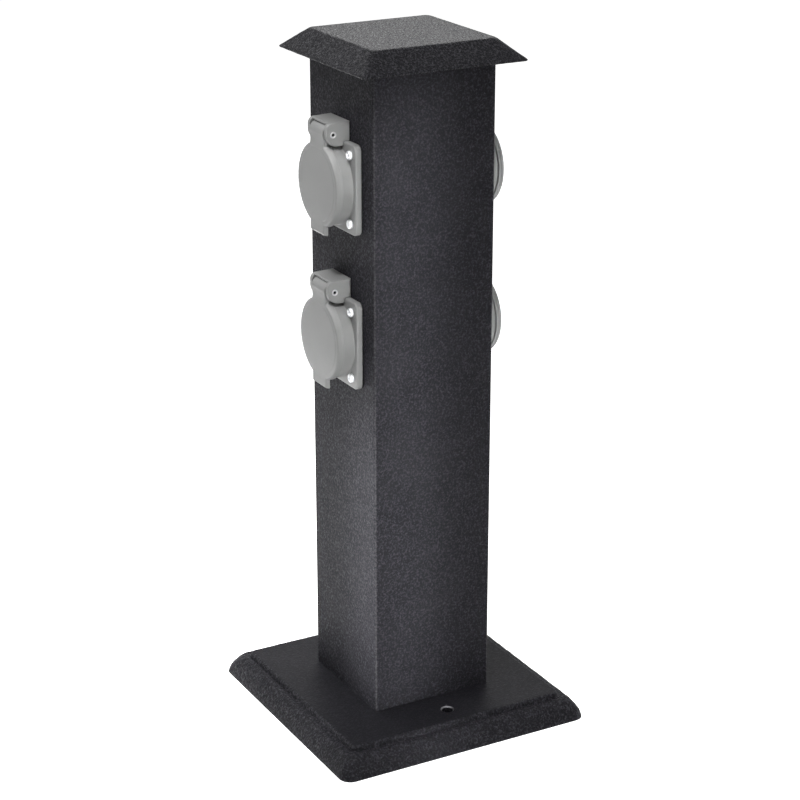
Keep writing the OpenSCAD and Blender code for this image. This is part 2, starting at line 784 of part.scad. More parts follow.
module terminal_bars() {
    color(BRASS) difference() {
        for (x = POLES) translate([x - bar_w / 2, -bar_half, bar_z]) cube([bar_w, 2 * bar_half, bar_h]);
        at_bar_wires() {
            translate([0, 0, bar_z - 1]) cylinder(r = wire_hole_r, h = bar_hole_depth + 1);
            translate([0, 0, bar_z + bar_h - bar_hole_depth])
                cylinder(r = wire_hole_r, h = bar_hole_depth + 1);
        }
        at_bar_screws() translate([0, 0, -1]) cylinder(d = clamp_screw_d + thread_clear, h = bar_cover + 1);
    }
}

module terminal_screws() {
    color(ZINC) at_bar_screws() rotate([0, 0, 45])
        pan_screw(clamp_screw_d, bar_cover - wire_hole_r, clamp_head_d - 1, block_cover);
}

module earth_screw() {
    color(ZINC) at_earth_screw()
        pan_screw(earth_screw_d, lug_t + bracket_t + 2, earth_screw_d * 1.7, earth_screw_d * 0.5);
}

module earth_lug() {
    color(COPPER) difference() {
        union() {
            at_earth_screw() cylinder(d = lug_d, h = lug_t);
            translate([bracket_x - lug_t, wire_y - wire_r, earth_z])
                cube([lug_t, wire_d, lug_d / 2 + lug_barrel_h]);
            translate([lug_axis_x, wire_y, lug_barrel_z]) cylinder(r = wire_r + 0.9, h = lug_barrel_h);
        }
        at_earth_screw() translate([0, 0, -1]) cylinder(d = earth_screw_d + thread_clear, h = lug_t + 2);
        translate([lug_axis_x, wire_y, lug_barrel_z - 1]) cylinder(r = wire_hole_r, h = lug_barrel_h + 2);
    }
}

// The bond from the lug up into the middle bar: straight, across in an S, straight
module earth_link_wire() {
    start_z = lug_barrel_z + 1;
    bend_z = lug_barrel_z + lug_barrel_h + 4;
    end_z = bar_z + bar_hole_depth - 1;
    rise = block_z - 4 - bend_z;
    bend = [
        for (i = [0:12]) let (t = i / 12)
            [lug_axis_x * (1 + cos(180 * t)) / 2, wire_y, bend_z + rise * t]
    ];
    color([0.35, 0.6, 0.2]) sweep(
        concat([[lug_axis_x, wire_y, start_z]], bend, [[0, wire_y, end_z]]),
        link_r, [0, 1, 0], 8
    );
}

// One wire on each face, from the upper socket's terminal down into the terminal block
module pole_wires(x) {
    low = bar_z + bar_h - bar_hole_depth + 0.5;
    high = upper_z - terminal_w / 2 + wire_grip;
    for (y = [-1, 1]) translate([x, y * wire_y, low]) cylinder(r = wire_r, h = high - low);
}

module line_wires() {
    color([0.4, 0.25, 0.15]) pole_wires(-pole_x);
}

module neutral_wires() {
    color([0.2, 0.35, 0.7]) pole_wires(pole_x);
}

module earth_wires() {
    color([0.35, 0.6, 0.2]) pole_wires(0);
}

module flange_screws() {
    color(ZINC) for (s = SOCKETS) on_face(s[1], s[2]) for (x = [-1, 1], z = [-1, 1])
        translate([x * flange_screw_spacing / 2, -flange_face, z * flange_screw_spacing / 2])
            rotate([-90, 0, 0]) rotate(30 * x + 15 * z)
                pan_screw(flange_screw_d, flange_screw_l, flange_head_d, flange_head_h);
}

// Clamp screws of the live terminals, pointing at the wire from the side x
module at_live_screws(x) {
    translate([x * (pole_x + terminal_w / 2), -wire_out, 0]) rotate([0, -90 * x, 0]) children();
}

// Clamp screw of the earth terminal, pointing outward at the wire
module at_earth_clamp() {
    translate([0, -terminal_back, 0]) rotate([90, 0, 0]) children();
}

module contact_terminal_screws() {
    live_l = terminal_w / 2 - wire_hole_r;
    earth_l = wire_out - terminal_back - wire_hole_r;
    color(ZINC) for (s = SOCKETS) on_face(s[1], s[2]) {
        for (x = [-1, 1]) at_live_screws(x) pan_screw(clamp_screw_d, live_l, clamp_head_d, clamp_head_h);
        at_earth_clamp() pan_screw(clamp_screw_d, earth_l, clamp_head_d, clamp_head_h);
    }
}

module housing(s) {
    flange_top = flange_w / 2;
    ear_bottom = hinge_up - ear_drop;
    ear_face = hinge_out + ear_front;
    chin_r = ear_drop - 0.2;
    roof_back_z = roof_z + roof_t;
    roof_front_z = roof_back_z - roof_fall;
    ear = concat(
        [[hinge_wall_gap, flange_top], [hinge_wall_gap, roof_back_z]],
        arc(ear_face - brow_r, roof_front_z - brow_r, brow_r, 90, 0),
        arc(ear_face - chin_r, ear_bottom + chin_r, chin_r, 0, -90),
        [[flange_face - 1, ear_bottom], [flange_face - 1, flange_top]]
    );
    wall_back = hinge_wall_gap + hinge_wall_t;
    wall = [
        [hinge_wall_gap, flange_top], [hinge_wall_gap, roof_back_z], [wall_back, roof_back_z],
        [wall_back, flange_top - 1], [gasket_t + eps, flange_top - 1], [gasket_t + eps, flange_top]
    ];
    roof = [
        [hinge_wall_gap, roof_z], [hinge_wall_gap, roof_back_z],
        [hinge_out, roof_front_z], [hinge_out + roof_reach, roof_front_z], [hinge_out + roof_reach, roof_z]
    ];
    lip_d = -barrel_depth - shoulder_t - slot_clear;
    color(GREY) on_face(s[1], s[2]) {
        difference() {
            union() {
                outward(gasket_t, flange_face) rounded_square(flange_w, flange_corner_r);
                outward(gasket_t, collar_face) circle(collar_r);
                outward(-barrel_depth, gasket_t + eps) circle(barrel_r);
                across(-ear_out, ear_out) polygon(wall);
                across(-ear_out, ear_out) polygon(roof);
                for (x = [-ear_out, ear_in]) across(x, x + ear_t) polygon(ear);
            }
            outward(-barrel_depth - 1, collar_face + 1) circle(recess_r);
            outward(gasket_t - 1, flange_face + 1) at_corners(flange_screw_spacing)
                circle(d = flange_screw_d + 0.5);
            on_hinge((pin_d + ear_pin_clear) / 2, -ear_out - 1, ear_out + 1);
        }
        for (x = [-1, 1]) outward(recess_floor + 0.1, collar_face - rib_drop)
            translate([x * (recess_r + 0.5 - (rib_h + 0.5) / 2), 0])
                square([rib_h + 0.5, rib_w], center = true);
        snap_arms(recess_r + slot_clear, lip_d - snap_lip_t, -barrel_depth + eps);
        snap_arms(recess_r - carrier_clear - snap_catch, lip_d - snap_lip_t, lip_d);
    }
}

// Sectors of the barrel's wall, down to radius r, at both sides
module snap_arms(r, d0, d1) {
    outward(d0, d1) intersection() {
        difference() {
            circle(barrel_r);
            circle(r);
        }
        square([3 * barrel_r, snap_w], center = true);
    }
}

module flange_gasket(s) {
    color(DARK_RUBBER) on_face(s[1], s[2]) outward(0, gasket_t) difference() {
        rounded_square(flange_w - 2 * gasket_inset, flange_corner_r - gasket_inset);
        circle(barrel_r + barrel_clear);
        at_corners(flange_screw_spacing) circle(d = flange_screw_d + 0.5);
    }
}

module lid(s) {
    crown = lid_face + lid_dome;
    face_r = lid_r - lid_taper;
    flat_r = face_r - lid_edge_r;
    disc = concat(
        [[0, lid_back], [lid_r, lid_back]],
        arc(flat_r, lid_face - lid_edge_r, lid_edge_r, 0, 90),
        [for (i = [1:6]) let (t = 1 - i / 6) [flat_r * t, crown - lid_dome * t * t]]
    );
    neck_face = lid_back + neck_t;
    neck = [
        [lid_back, 0], [lid_back, hinge_up], [neck_face, hinge_up],
        [neck_face, hinge_up - knuckle_r], [lid_face, flat_r - 1.5], [lid_face, 0]
    ];
    tab_end = -lid_r - tab_reach;
    tab = [
        [lid_face - tab_t, 0], [lid_face, 0], [lid_face, tab_end + 0.6],
        [lid_face - 0.6, tab_end], [lid_face - tab_t, tab_end]
    ];
    color(GREY) on_face(s[1], s[2]) difference() {
        union() {
            turned() polygon(disc);
            across(-neck_w / 2, neck_w / 2) polygon(neck);
            on_hinge(knuckle_r, -neck_w / 2, neck_w / 2);
            across(-tab_w / 2, tab_w / 2) polygon(tab);
        }
        outward(lid_back - 1, lid_floor) circle(hollow_r);
        outward(lid_floor - 1, lid_floor + seal_seat) difference() {
            circle(seal_r + seal_clear);
            circle(seal_r - seal_w - seal_clear);
        }
        on_hinge((pin_d + lid_pin_clear) / 2, -neck_w, neck_w);
        on_hinge(spring_room_r, -spring_room, spring_room);
        across(-spring_room, spring_room) translate([hinge_out - knuckle_d, hinge_up - knuckle_d])
            square([knuckle_d + 0.3, 2 * knuckle_d]);
        at_spring_leg() cylinder(d = spring_wire_d + 0.3, h = spring_leg + 0.2);
    }
}

module lid_seal(s) {
    color(DARK_RUBBER) on_face(s[1], s[2])
        outward(collar_face + seal_gap, lid_floor + seal_seat) difference() {
            circle(seal_r);
            circle(seal_r - seal_w);
        }
}

module hinge_pin(s) {
    half = ear_out + 0.3;
    color(ZINC) on_face(s[1], s[2]) difference() {
        on_hinge(pin_d / 2, -half, half);
        on_hinge(pin_bore_d / 2, -half - 1, half + 1);
    }
}

// The lid's end of the spring, pointing along its leg, forward and down into the neck
LEG_ANGLE = 240;
module at_spring_leg() {
    translate([spring_w / 2, -hinge_out - spring_r * cos(LEG_ANGLE), hinge_up + spring_r * sin(LEG_ANGLE)])
        rotate([-LEG_ANGLE, 0, 0]) children();
}

// Centre line of the lid spring: a leg to the back wall, the coil, and a leg into the lid's neck
STEPS = 12;
coil_end = STEPS * spring_turns - 1;
spring_coil = [
    for (i = [0:coil_end])
        let (a = 360 * i / STEPS - 90)
        [spring_w * (i / coil_end - 0.5), -hinge_out - spring_r * cos(a), hinge_up + spring_r * sin(a)]
];
leg_way = [0, sin(LEG_ANGLE), cos(LEG_ANGLE)];
spring_line = concat(
    [[-spring_w / 2, -hinge_wall_gap - hinge_wall_t - 0.1, hinge_up - spring_r]],
    spring_coil,
    [spring_coil[coil_end] + spring_leg * leg_way]
);
spring_self_gap = min([
    for (i = [0:len(spring_coil) - 1], j = [i + STEPS / 2:len(spring_coil) - 1])
        if (j < len(spring_coil)) norm(spring_coil[i] - spring_coil[j])
]) - spring_wire_d;
echo(spring_self_gap = spring_self_gap);

module lid_spring(s) {
    color(ZINC) on_face(s[1], s[2]) sweep(spring_line, spring_wire_d / 2, [1, 0, 0]);
}

module contact_carrier(s) {
    disc_r = recess_r - carrier_clear;
    shoulder_r = barrel_r - carrier_clear;
    slot_low = recess_r - clip_clear - clip_t - slot_clear;
    slot_high = recess_r - clip_clear + slot_clear;
    slot_half = clip_w / 2 + slot_clear;
    color(IVORY) on_face(s[1], s[2]) difference() {
        union() {
            outward(-barrel_depth - eps, recess_floor) circle(disc_r);
            outward(-barrel_depth - shoulder_t, -barrel_depth) circle(shoulder_r);
            outward(-carrier_depth, -barrel_depth) circle(d = carrier_d);
        }
        for (z = [-1, 1]) {
            outward(-barrel_depth, recess_floor + 1) translate([0, z * (slot_low + 5)])
                square([2 * slot_half, 10], center = true);
            outward(-barrel_depth - shoulder_t - 1, -barrel_depth + 1)
                translate([0, z * (slot_low + slot_high) / 2])
                    square([2 * slot_half, slot_high - slot_low], center = true);
        }
        outward(-barrel_depth - shoulder_t - 1, -barrel_depth) difference() {
            square([3 * barrel_r, snap_w + 2 * slot_clear], center = true);
            circle(disc_r);
        }
        for (x = [-pole_x, pole_x]) translate([x, 0, 0])
            outward(-carrier_depth - 1, recess_floor + 1) circle(d = sleeve_d + sleeve_clear);
    }
}

module live_contacts(s) {
    color(BRASS) on_face(s[1], s[2]) for (x = [-1, 1]) difference() {
        translate([x * pole_x, 0, 0]) difference() {
            union() {
                outward(-carrier_depth - eps, sleeve_front - 0.1) circle(d = sleeve_d);
                outward(terminal_back, -carrier_depth) square(terminal_w, center = true);
            }
            outward(-carrier_depth + eps, sleeve_front + 1) circle(d = sleeve_bore_d);
            translate([0, -wire_out, -terminal_w]) cylinder(r = wire_hole_r, h = 2 * terminal_w);
        }
        at_live_screws(x) translate([0, 0, -1])
            cylinder(d = clamp_screw_d + thread_clear, h = terminal_w / 2 + 1);
    }
}

module earth_clip(s) {
    arm_high = recess_r - clip_clear;
    arm_low = arm_high - clip_t;
    tip_d = collar_face - clip_drop;
    back = -carrier_depth - clip_t;
    tip = [
        [tip_d - clip_tip, arm_high], [tip_d - 1.5, arm_high], [tip_d, arm_high - clip_t],
        [tip_d - clip_tip, arm_low - clip_reach], [tip_d - clip_tip - 0.3, arm_low - clip_reach + clip_t],
        [tip_d - 2, arm_low - 0.2], [tip_d - 2.6, arm_low], [tip_d - clip_tip, arm_low]
    ];
    color(BRASS) on_face(s[1], s[2]) difference() {
        union() {
            outward(back, -carrier_depth) square([clip_w, 2 * arm_high], center = true);
            for (z = [0, 1]) mirror([0, 0, z]) across(-clip_w / 2, clip_w / 2) {
                translate([back, arm_low]) square([tip_d - clip_tip - back + eps, clip_t]);
                polygon(tip);
            }
            outward(terminal_back, back + eps) square([earth_terminal_w, terminal_w], center = true);
        }
        translate([0, -wire_out, -terminal_w]) cylinder(r = wire_hole_r, h = 2 * terminal_w);
        at_earth_clamp() translate([0, 0, -1])
            cylinder(d = clamp_screw_d + thread_clear, h = wire_out - terminal_back + 1);
    }
}

base_plate();
post_tube();
cap();
cap_gasket();
tie_rods();
tie_rod_nuts();
tie_rod_washers();
gland_body();
gland_seal();
gland_dome_nut();
gland_lock_nut();
terminal_bracket();
bracket_screws();
terminal_block();
terminal_bars();
terminal_screws();
earth_screw();
earth_lug();
earth_link_wire();
line_wires();
neutral_wires();
earth_wires();
flange_screws();
contact_terminal_screws();
for (s = SOCKETS) {
    housing(s);
    flange_gasket(s);
    lid(s);
    lid_seal(s);
    hinge_pin(s);
    lid_spring(s);
    contact_carrier(s);
    live_contacts(s);
    earth_clip(s);
}
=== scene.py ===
"""Garden socket post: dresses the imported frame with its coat, plastics and metals, and sets its light.

Sizes are in millimetres until a mesh is written, which is in metres. A socket is drawn about its own
centre, x across and z up, with a depth outward from the tube's face along -y, and is then placed on
its face of the post.
"""
from __future__ import annotations

import json
import logging
import math
import sys
from dataclasses import dataclass, field, replace
from enum import Enum
from functools import cache

import bmesh
import bpy
import numpy as np
from bpy.types import Material, Mesh, Node, NodeSocket, NodeTree, Object
from mathutils import Matrix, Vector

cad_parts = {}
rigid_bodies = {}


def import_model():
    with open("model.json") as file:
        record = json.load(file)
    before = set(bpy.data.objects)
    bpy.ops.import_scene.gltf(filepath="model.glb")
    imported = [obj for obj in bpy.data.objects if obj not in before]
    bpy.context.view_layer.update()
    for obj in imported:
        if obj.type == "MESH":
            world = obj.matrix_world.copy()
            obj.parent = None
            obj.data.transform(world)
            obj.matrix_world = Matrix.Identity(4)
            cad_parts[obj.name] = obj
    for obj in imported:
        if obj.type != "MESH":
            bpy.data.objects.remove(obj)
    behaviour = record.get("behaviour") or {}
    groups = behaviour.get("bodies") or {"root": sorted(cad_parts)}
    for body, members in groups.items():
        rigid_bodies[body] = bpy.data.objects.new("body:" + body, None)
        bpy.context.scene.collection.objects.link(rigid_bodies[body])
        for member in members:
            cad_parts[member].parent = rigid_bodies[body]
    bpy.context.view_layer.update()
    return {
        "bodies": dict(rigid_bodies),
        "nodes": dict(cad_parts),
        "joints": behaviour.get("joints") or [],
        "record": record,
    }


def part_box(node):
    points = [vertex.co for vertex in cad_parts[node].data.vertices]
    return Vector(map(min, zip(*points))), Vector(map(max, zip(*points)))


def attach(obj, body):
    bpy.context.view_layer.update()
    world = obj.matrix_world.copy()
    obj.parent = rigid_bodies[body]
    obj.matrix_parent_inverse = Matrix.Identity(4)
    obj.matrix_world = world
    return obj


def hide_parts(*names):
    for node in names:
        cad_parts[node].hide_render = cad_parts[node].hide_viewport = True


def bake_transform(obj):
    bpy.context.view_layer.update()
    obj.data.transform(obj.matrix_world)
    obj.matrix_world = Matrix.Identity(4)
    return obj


LOG = logging.getLogger("socket_post")
Array = np.ndarray
Colour = tuple[float, float, float]
Point = tuple[float, float, float]
Span = tuple[float, float]

MM = 0.001
WELD = 1e-6
RIM_STEPS = 4
SHARP_ANGLE = math.radians(38)
UNIT = (0.0, 1.0)
MIRROR = np.array([-1.0, 1.0])


class Face(Enum):
    """The faces of the post that hold sockets, as turns about the upright axis in degrees."""

    FRONT = 0
    REAR = 180


class Axis(Enum):
    """Where an outline's two directions and its height point, as rows of x, y and z."""

    UP = ((1, 0, 0), (0, 1, 0), (0, 0, 1))
    OUT = ((1, 0, 0), (0, 0, 1), (0, -1, 0))
    ACROSS = ((0, -1, 0), (0, 0, 1), (1, 0, 0))

    def place(self, outline: Array, height: Array | float) -> Array:
        """Points of shape (..., 3): an outline of shape (..., 2) at a height, or at heights that fit it."""
        heights = np.broadcast_to(height, outline.shape[:-1])[..., None]
        return np.concatenate([outline, heights], axis=-1) @ np.array(self.value, dtype=float)


@dataclass
class Shell:
    """A skin: points in millimetres, quads as rows of point numbers, and many-sided caps.

    Its finish is a number, or one for each quad; the caps have finish 0 where the quads' differ.
    """

    points: Array
    quads: Array
    caps: list[Array] = field(default_factory=list)
    finish: Array | int = 0

    def moved(self, offset: Array | Point) -> Shell:
        """The same skin, shifted by an offset in millimetres, one for all its points or one for each."""
        return replace(self, points=self.points + np.asarray(offset))

    def placed(self, matrix: Matrix) -> Shell:
        """The same skin, turned and shifted by a matrix in millimetres."""
        place = np.array(matrix)
        return replace(self, points=self.points @ place[:3, :3].T + place[:3, 3])

    def faces(self) -> list[list[int]]:
        """All faces as lists of point numbers."""
        return self.quads.tolist() + [cap.tolist() for cap in self.caps]

    def finishes(self) -> Array:
        """The finish numbers of the faces.

        Returns:
            One number for each quad, and then one for each cap.
        """
        caps = self.finish if np.ndim(self.finish) == 0 else 0
        quads = np.broadcast_to(self.finish, len(self.quads))
        return np.concatenate([quads, np.full(len(self.caps), caps)]).astype(np.int32)


def skin(grid: Array, ring: bool = False, caps: bool = True) -> Shell:
    """Quads between the neighbours of a grid whose rows are closed loops of points.

    Args:
        grid: points of shape (rows, columns, 3).
        ring: whether the last row joins the first again.
        caps: whether the first and last rows are closed with a flat face, where they don't join.

    Returns:
        The skin of the grid.
    """
    rows, columns = grid.shape[:2]
    number = np.arange(rows * columns).reshape(rows, columns)
    wrapped = np.concatenate([number, number[:, :1]], axis=1)
    if ring:
        wrapped = np.concatenate([wrapped, wrapped[:1]], axis=0)
    corners = [wrapped[:-1, :-1], wrapped[:-1, 1:], wrapped[1:, 1:], wrapped[1:, :-1]]
    quads = np.stack(corners, axis=-1).reshape(-1, 4)
    ends = [number[0][::-1], number[-1]] if caps and not ring else []
    return Shell(grid.reshape(-1, 3), quads, ends)


def joined(shells: list[Shell], flats: list[Array]) -> Shell:
    """Several open skins and flat faces as one skin, whose shared edges are welded later.

    Args:
        shells: open skins.
        flats: outlines of flat faces, each of shape (n, 3).

    Returns:
        One skin.
    """
    starts = np.cumsum([0] + [len(shell.points) for shell in shells] + [len(flat) for flat in flats])
    points = np.concatenate([shell.points for shell in shells] + flats)
    quads = np.concatenate([shell.quads + start for shell, start in zip(shells, starts)])
    finish = np.concatenate([np.broadcast_to(shell.finish, len(shell.quads)) for shell in shells])
    faces = zip(flats, starts[len(shells):])
    return Shell(points, quads, [np.arange(len(flat)) + start for flat, start in faces], finish)


def arc(u: float, v: float, r: float, start: float, end: float, steps: int = 8) -> Array:
    """Points of an arc about (u, v): the centre plus r times the cosine and sine of an even turn.

    Args:
        u: first coordinate of the centre.
        v: second coordinate of the centre.
        r: radius.
        start: first angle in degrees.
        end: last angle in degrees.
        steps: number of chords.

    Returns:
        Points of shape (steps + 1, 2).
    """
    turn = np.radians(np.linspace(start, end, steps + 1))
    return np.stack([u + r * np.cos(turn), v + r * np.sin(turn)], axis=1)


def circle(sides: int) -> Array:
    """Points of shape (sides, 2) round a circle of radius 1, the cosine and sine of an even turn."""
    turn = np.linspace(0.0, 2 * math.pi, sides, endpoint=False)
    return np.stack([np.cos(turn), np.sin(turn)], axis=1)


def oblong(u: Span, v: Span) -> Array:
    """The four corners of an oblong that spans u and v, of shape (4, 2)."""
    return np.array([[u[0], v[0]], [u[1], v[0]], [u[1], v[1]], [u[0], v[1]]])


def evenly(line: Array, step: float) -> Array:
    """Points spaced evenly by length along a line, with its ends kept.

    Args:
        line: points of shape (n, k).
        step: about the wanted spacing.

    Returns:
        Points of shape (m, k).
    """
    length = np.concatenate([[0.0], np.cumsum(np.linalg.norm(np.diff(line, axis=0), axis=1))])
    places = np.linspace(0.0, length[-1], max(2, int(round(length[-1] / step)) + 1))
    return np.stack([np.interp(places, length, column) for column in line.T], axis=1)


def inset(outline: Array, amounts: Array) -> Array:
    """Copies of a closed outline drawn in by each amount.

    Each corner moves along the sum of its two edges' inward normals, divided by one plus their dot
    product, so that both edges shift by the amount.

    Args:
        outline: points of shape (n, 2), with no repeated corner.
        amounts: distances of shape (m,).

    Returns:
        Points of shape (m, n, 2).
    """
    after = np.roll(outline, -1, axis=0)
    turning = np.sign(np.sum(outline[:, 0] * after[:, 1] - outline[:, 1] * after[:, 0]))
    edge = after - outline
    edge = edge / np.linalg.norm(edge, axis=1, keepdims=True)
    normal = turning * np.stack([-edge[:, 1], edge[:, 0]], axis=1)
    before = np.roll(normal, 1, axis=0)
    shift = (before + normal) / (1.0 + np.sum(before * normal, axis=1, keepdims=True))
    return outline[None] + np.asarray(amounts)[:, None, None] * shift[None]


def rim(edge: float) -> tuple[Array, Array]:
    """Inset and lift of a rounded rim, edge(1 - sin a) and edge(1 - cos a) for a from 0 to 90 degrees."""
    turn = np.linspace(0.0, math.pi / 2, RIM_STEPS + 1)
    return edge * (1.0 - np.sin(turn)), edge * (1.0 - np.cos(turn))


def rims(span: Span, edges: Span) -> tuple[Array, Array]:
    """Insets and heights of the rows of an upright wall between two rounded rims.

    Args:
        span: heights of the first and last rims.
        edges: radii of the first and last rims.

    Returns:
        The rows' insets, and their heights.
    """
    (first, lift), (last, drop) = rim(edges[0]), rim(edges[1])
    return np.concatenate([first, last[::-1]]), np.concatenate([span[0] + lift, span[1] - drop[::-1]])


def prism(outline: Array, span: Span, axis: Axis, edges: Span = (0.0, 0.0)) -> Shell:
    """An outline carried straight from one height to another, with both rims rounded.

    Args:
        outline: points of shape (n, 2).
        span: first and last height.
        axis: where the outline and the height point.
        edges: radii of the first and last rims.

    Returns:
        A closed skin.
    """
    amounts, heights = rims(span, edges)
    return skin(axis.place(inset(outline, amounts), heights[:, None]))


def pierced(outline: Array, hole: Point, span: Span, axis: Axis, edges: Span) -> Shell:
    """A prism with rounded rims and a round hole, whose rows run from the hole out, over and back.

    A point of the hole lies on the line from its centre to the outline's point of the same number.

    Args:
        outline: points of shape (n, 2), all in sight of the hole's centre.
        hole: the hole's centre and radius, as (u, v, r).
        span: first and last height.
        axis: where the outline and the height point.
        edges: radii of the first and last rims.

    Returns:
        A closed skin.
    """
    amounts, heights = rims(span, edges)
    centre, r = np.array(hole[:2]), hole[2]
    away = outline - centre
    mouth = centre + r * away / np.linalg.norm(away, axis=1, keepdims=True)
    walls = np.concatenate([mouth[None], inset(outline, amounts), mouth[None]])
    levels = np.concatenate([span[:1], heights, span[1:]])
    return skin(axis.place(walls, levels[:, None]), ring=True)


def lathe(profile: Array, axis: Axis, ring: bool = False, sides: int = 96, caps: bool = True) -> Shell:
    """A profile of (radius, height) turned about its axis: each point draws a circle at its height.

    Args:
        profile: points of shape (n, 2).
        axis: where the circle and the height point.
        ring: whether the profile is a closed loop clear of the axis.
        sides: points in each circle.
        caps: whether a profile that is no loop is closed at its ends.

    Returns:
        The skin. A profile that starts or ends on the axis closes in a pole there.
    """
    return skin(axis.place(profile[:, None, :1] * circle(sides)[None], profile[:, 1:]), ring, caps)


def tube(line: Array, r: float, across: Point, sides: int = 10) -> Shell:
    """A round tube along a line: each point carries a circle square to the line's direction there.

    Args:
        line: points of shape (n, 3).
        r: radius.
        across: a direction that the line is never parallel to, which keeps the circles from twisting.
        sides: points in each circle.

    Returns:
        A closed skin.
    """
    along = np.gradient(line, axis=0)
    along /= np.linalg.norm(along, axis=1, keepdims=True)
    first = np.cross(along, across)
    first /= np.linalg.norm(first, axis=1, keepdims=True)
    square = np.stack([first, np.cross(along, first)], axis=1)
    return skin(line[:, None] + r * (circle(sides) @ square))


def rounded_square(half: Array | float, r: Array | float, bend: int, run: int) -> Array:
    """Squares with round corners: a quarter arc and a straight run, turned four times by 90 degrees.

    Args:
        half: half widths of shape (n,), or one.
        r: corner radii of shape (n,), or one.
        bend: chords in each corner.
        run: points inside each straight run, an odd number, so that one lies at its middle.

    Returns:
        Points of shape (n, 4 * (bend + 1 + run), 2), with the middle of the +x side first.
    """
    half, r = np.broadcast_arrays(np.atleast_1d(half).astype(float), np.atleast_1d(r).astype(float))
    corner = arc(0.0, 0.0, 1.0, 0.0, 90.0, bend)[None] * r[:, None, None] + (half - r)[:, None, None]
    share = np.linspace(0.0, 1.0, run + 2)[1:-1][None, :, None]
    start, end = corner[:, -1:], corner[:, -1:] * MIRROR
    turned = [np.concatenate([corner, start + share * (end - start)], axis=1)]
    for _ in range(3):
        turned.append(np.stack([-turned[-1][..., 1], turned[-1][..., 0]], axis=-1))
    return np.roll(np.concatenate(turned, axis=1), (run + 1) // 2, axis=1)


def square_ring(half: float, wall: float, low: float, high: float) -> Shell:
    """An upright square tube with slightly rounded corners, as four loops joined round.

    Args:
        half: half of its outer width.
        wall: its thickness.
        low: height of its lower end.
        high: height of its upper end.

    Returns:
        A closed skin.
    """
    corner_r = 0.3
    halves = np.array([half, half, half - wall, half - wall])
    heights = np.array([low, high, high, low])
    loops = rounded_square(halves, corner_r, bend=2, run=1)
    return skin(Axis.UP.place(loops, heights[:, None]), ring=True)


def cast_lumps(grid: Array, height: float, wave: float, seed: int) -> Array:
    """A grid with the uneven skin of a sand casting, faded out at its first and last rows.

    The lift along the surface's normal is a sum of plane waves in seeded directions, whose lengths
    lie between one and three times the shortest one.

    Args:
        grid: points of shape (rows, columns, 3), with closed rows.
        height: typical lift in millimetres.
        wave: shortest wave in millimetres.
        seed: seed of the waves' directions.

    Returns:
        The lifted grid.
    """
    waves, fade_rate, tiny = 28, 12.0, 1e-9
    draw = np.random.default_rng(seed)
    direction = draw.normal(size=(waves, 3))
    direction /= np.linalg.norm(direction, axis=1, keepdims=True)
    number = 2 * math.pi / (wave * draw.uniform(1.0, 3.0, size=(waves, 1)))
    phase = draw.uniform(0.0, 2 * math.pi, size=waves)
    lift = np.sin(grid @ (direction * number).T + phase).sum(axis=-1) * height / math.sqrt(waves / 2)
    around = np.roll(grid, -1, axis=1) - np.roll(grid, 1, axis=1)
    normal = np.cross(around, np.gradient(grid, axis=0))
    normal /= np.maximum(np.linalg.norm(normal, axis=-1, keepdims=True), tiny)
    rows = np.linspace(0.0, 1.0, len(grid))
    fade = np.clip(fade_rate * np.minimum(rows, 1.0 - rows), 0.0, 1.0)
    return grid + normal * (lift * fade[:, None])[..., None]


class Tree:
    """A node tree with short calls that add nodes and wire them."""

    def __init__(self, tree: NodeTree) -> None:
        """Keeps the tree that the calls fill."""
        self.tree = tree

    def add(self, kind: str, inputs: dict | None = None, **settings: object) -> Node:
        """Adds a node.

        Args:
            kind: the node's type name.
            inputs: values or output sockets, by the input's name or number.
            settings: the node's own properties, which are set first.

        Returns:
            The new node.
        """
        node = self.tree.nodes.new(kind)
        for name, value in settings.items():
            setattr(node, name, value)
        self.feed(node, inputs or {})
        return node

    def feed(self, node: Node, inputs: dict) -> None:
        """Links output sockets to a node's inputs, or sets the inputs' values.

        Args:
            node: the node.
            inputs: values or output sockets, by the input's name or number.
        """
        for name, value in inputs.items():
            if isinstance(value, NodeSocket):
                self.tree.links.new(value, node.inputs[name])
            else:
                node.inputs[name].default_value = value

    def mix(self, factor: object, first: object, second: object) -> NodeSocket:
        """Mixes two colours.

        Args:
            factor: share of the second colour.
            first: colour or socket at factor 0.
            second: colour or socket at factor 1.

        Returns:
            The mixed colour.
        """
        factor_in, first_in, second_in, colour_out = 0, 6, 7, 2
        inputs = {factor_in: factor, first_in: first, second_in: second}
        return self.add("ShaderNodeMix", inputs, data_type="RGBA").outputs[colour_out]

    def math(self, operation: str, first: object, second: object) -> NodeSocket:
        """The result of a two-value sum, product or the like."""
        return self.add("ShaderNodeMath", {0: first, 1: second}, operation=operation).outputs[0]

    def blend(self, first: NodeSocket, second: NodeSocket, share: float) -> NodeSocket:
        """A share of a first value plus the rest of a second one."""
        parts = (self.math("MULTIPLY", first, share), self.math("MULTIPLY", second, 1.0 - share))
        return self.math("ADD", *parts)

    def spread(self, value: NodeSocket, given: Span, wanted: Span = UNIT) -> NodeSocket:
        """A value taken evenly from a given range to a wanted one, and held at its ends."""
        ends = {"From Min": given[0], "From Max": given[1], "To Min": wanted[0], "To Max": wanted[1]}
        return self.add("ShaderNodeMapRange", {"Value": value, **ends}).outputs["Result"]

    def noise(self, vector: NodeSocket, scale: object, detail: float, roughness: float = 0.5) -> NodeSocket:
        """The value of a noise texture at a scale in waves per metre."""
        inputs = {"Vector": vector, "Scale": scale, "Detail": detail, "Roughness": roughness}
        return self.add("ShaderNodeTexNoise", inputs).outputs["Fac"]


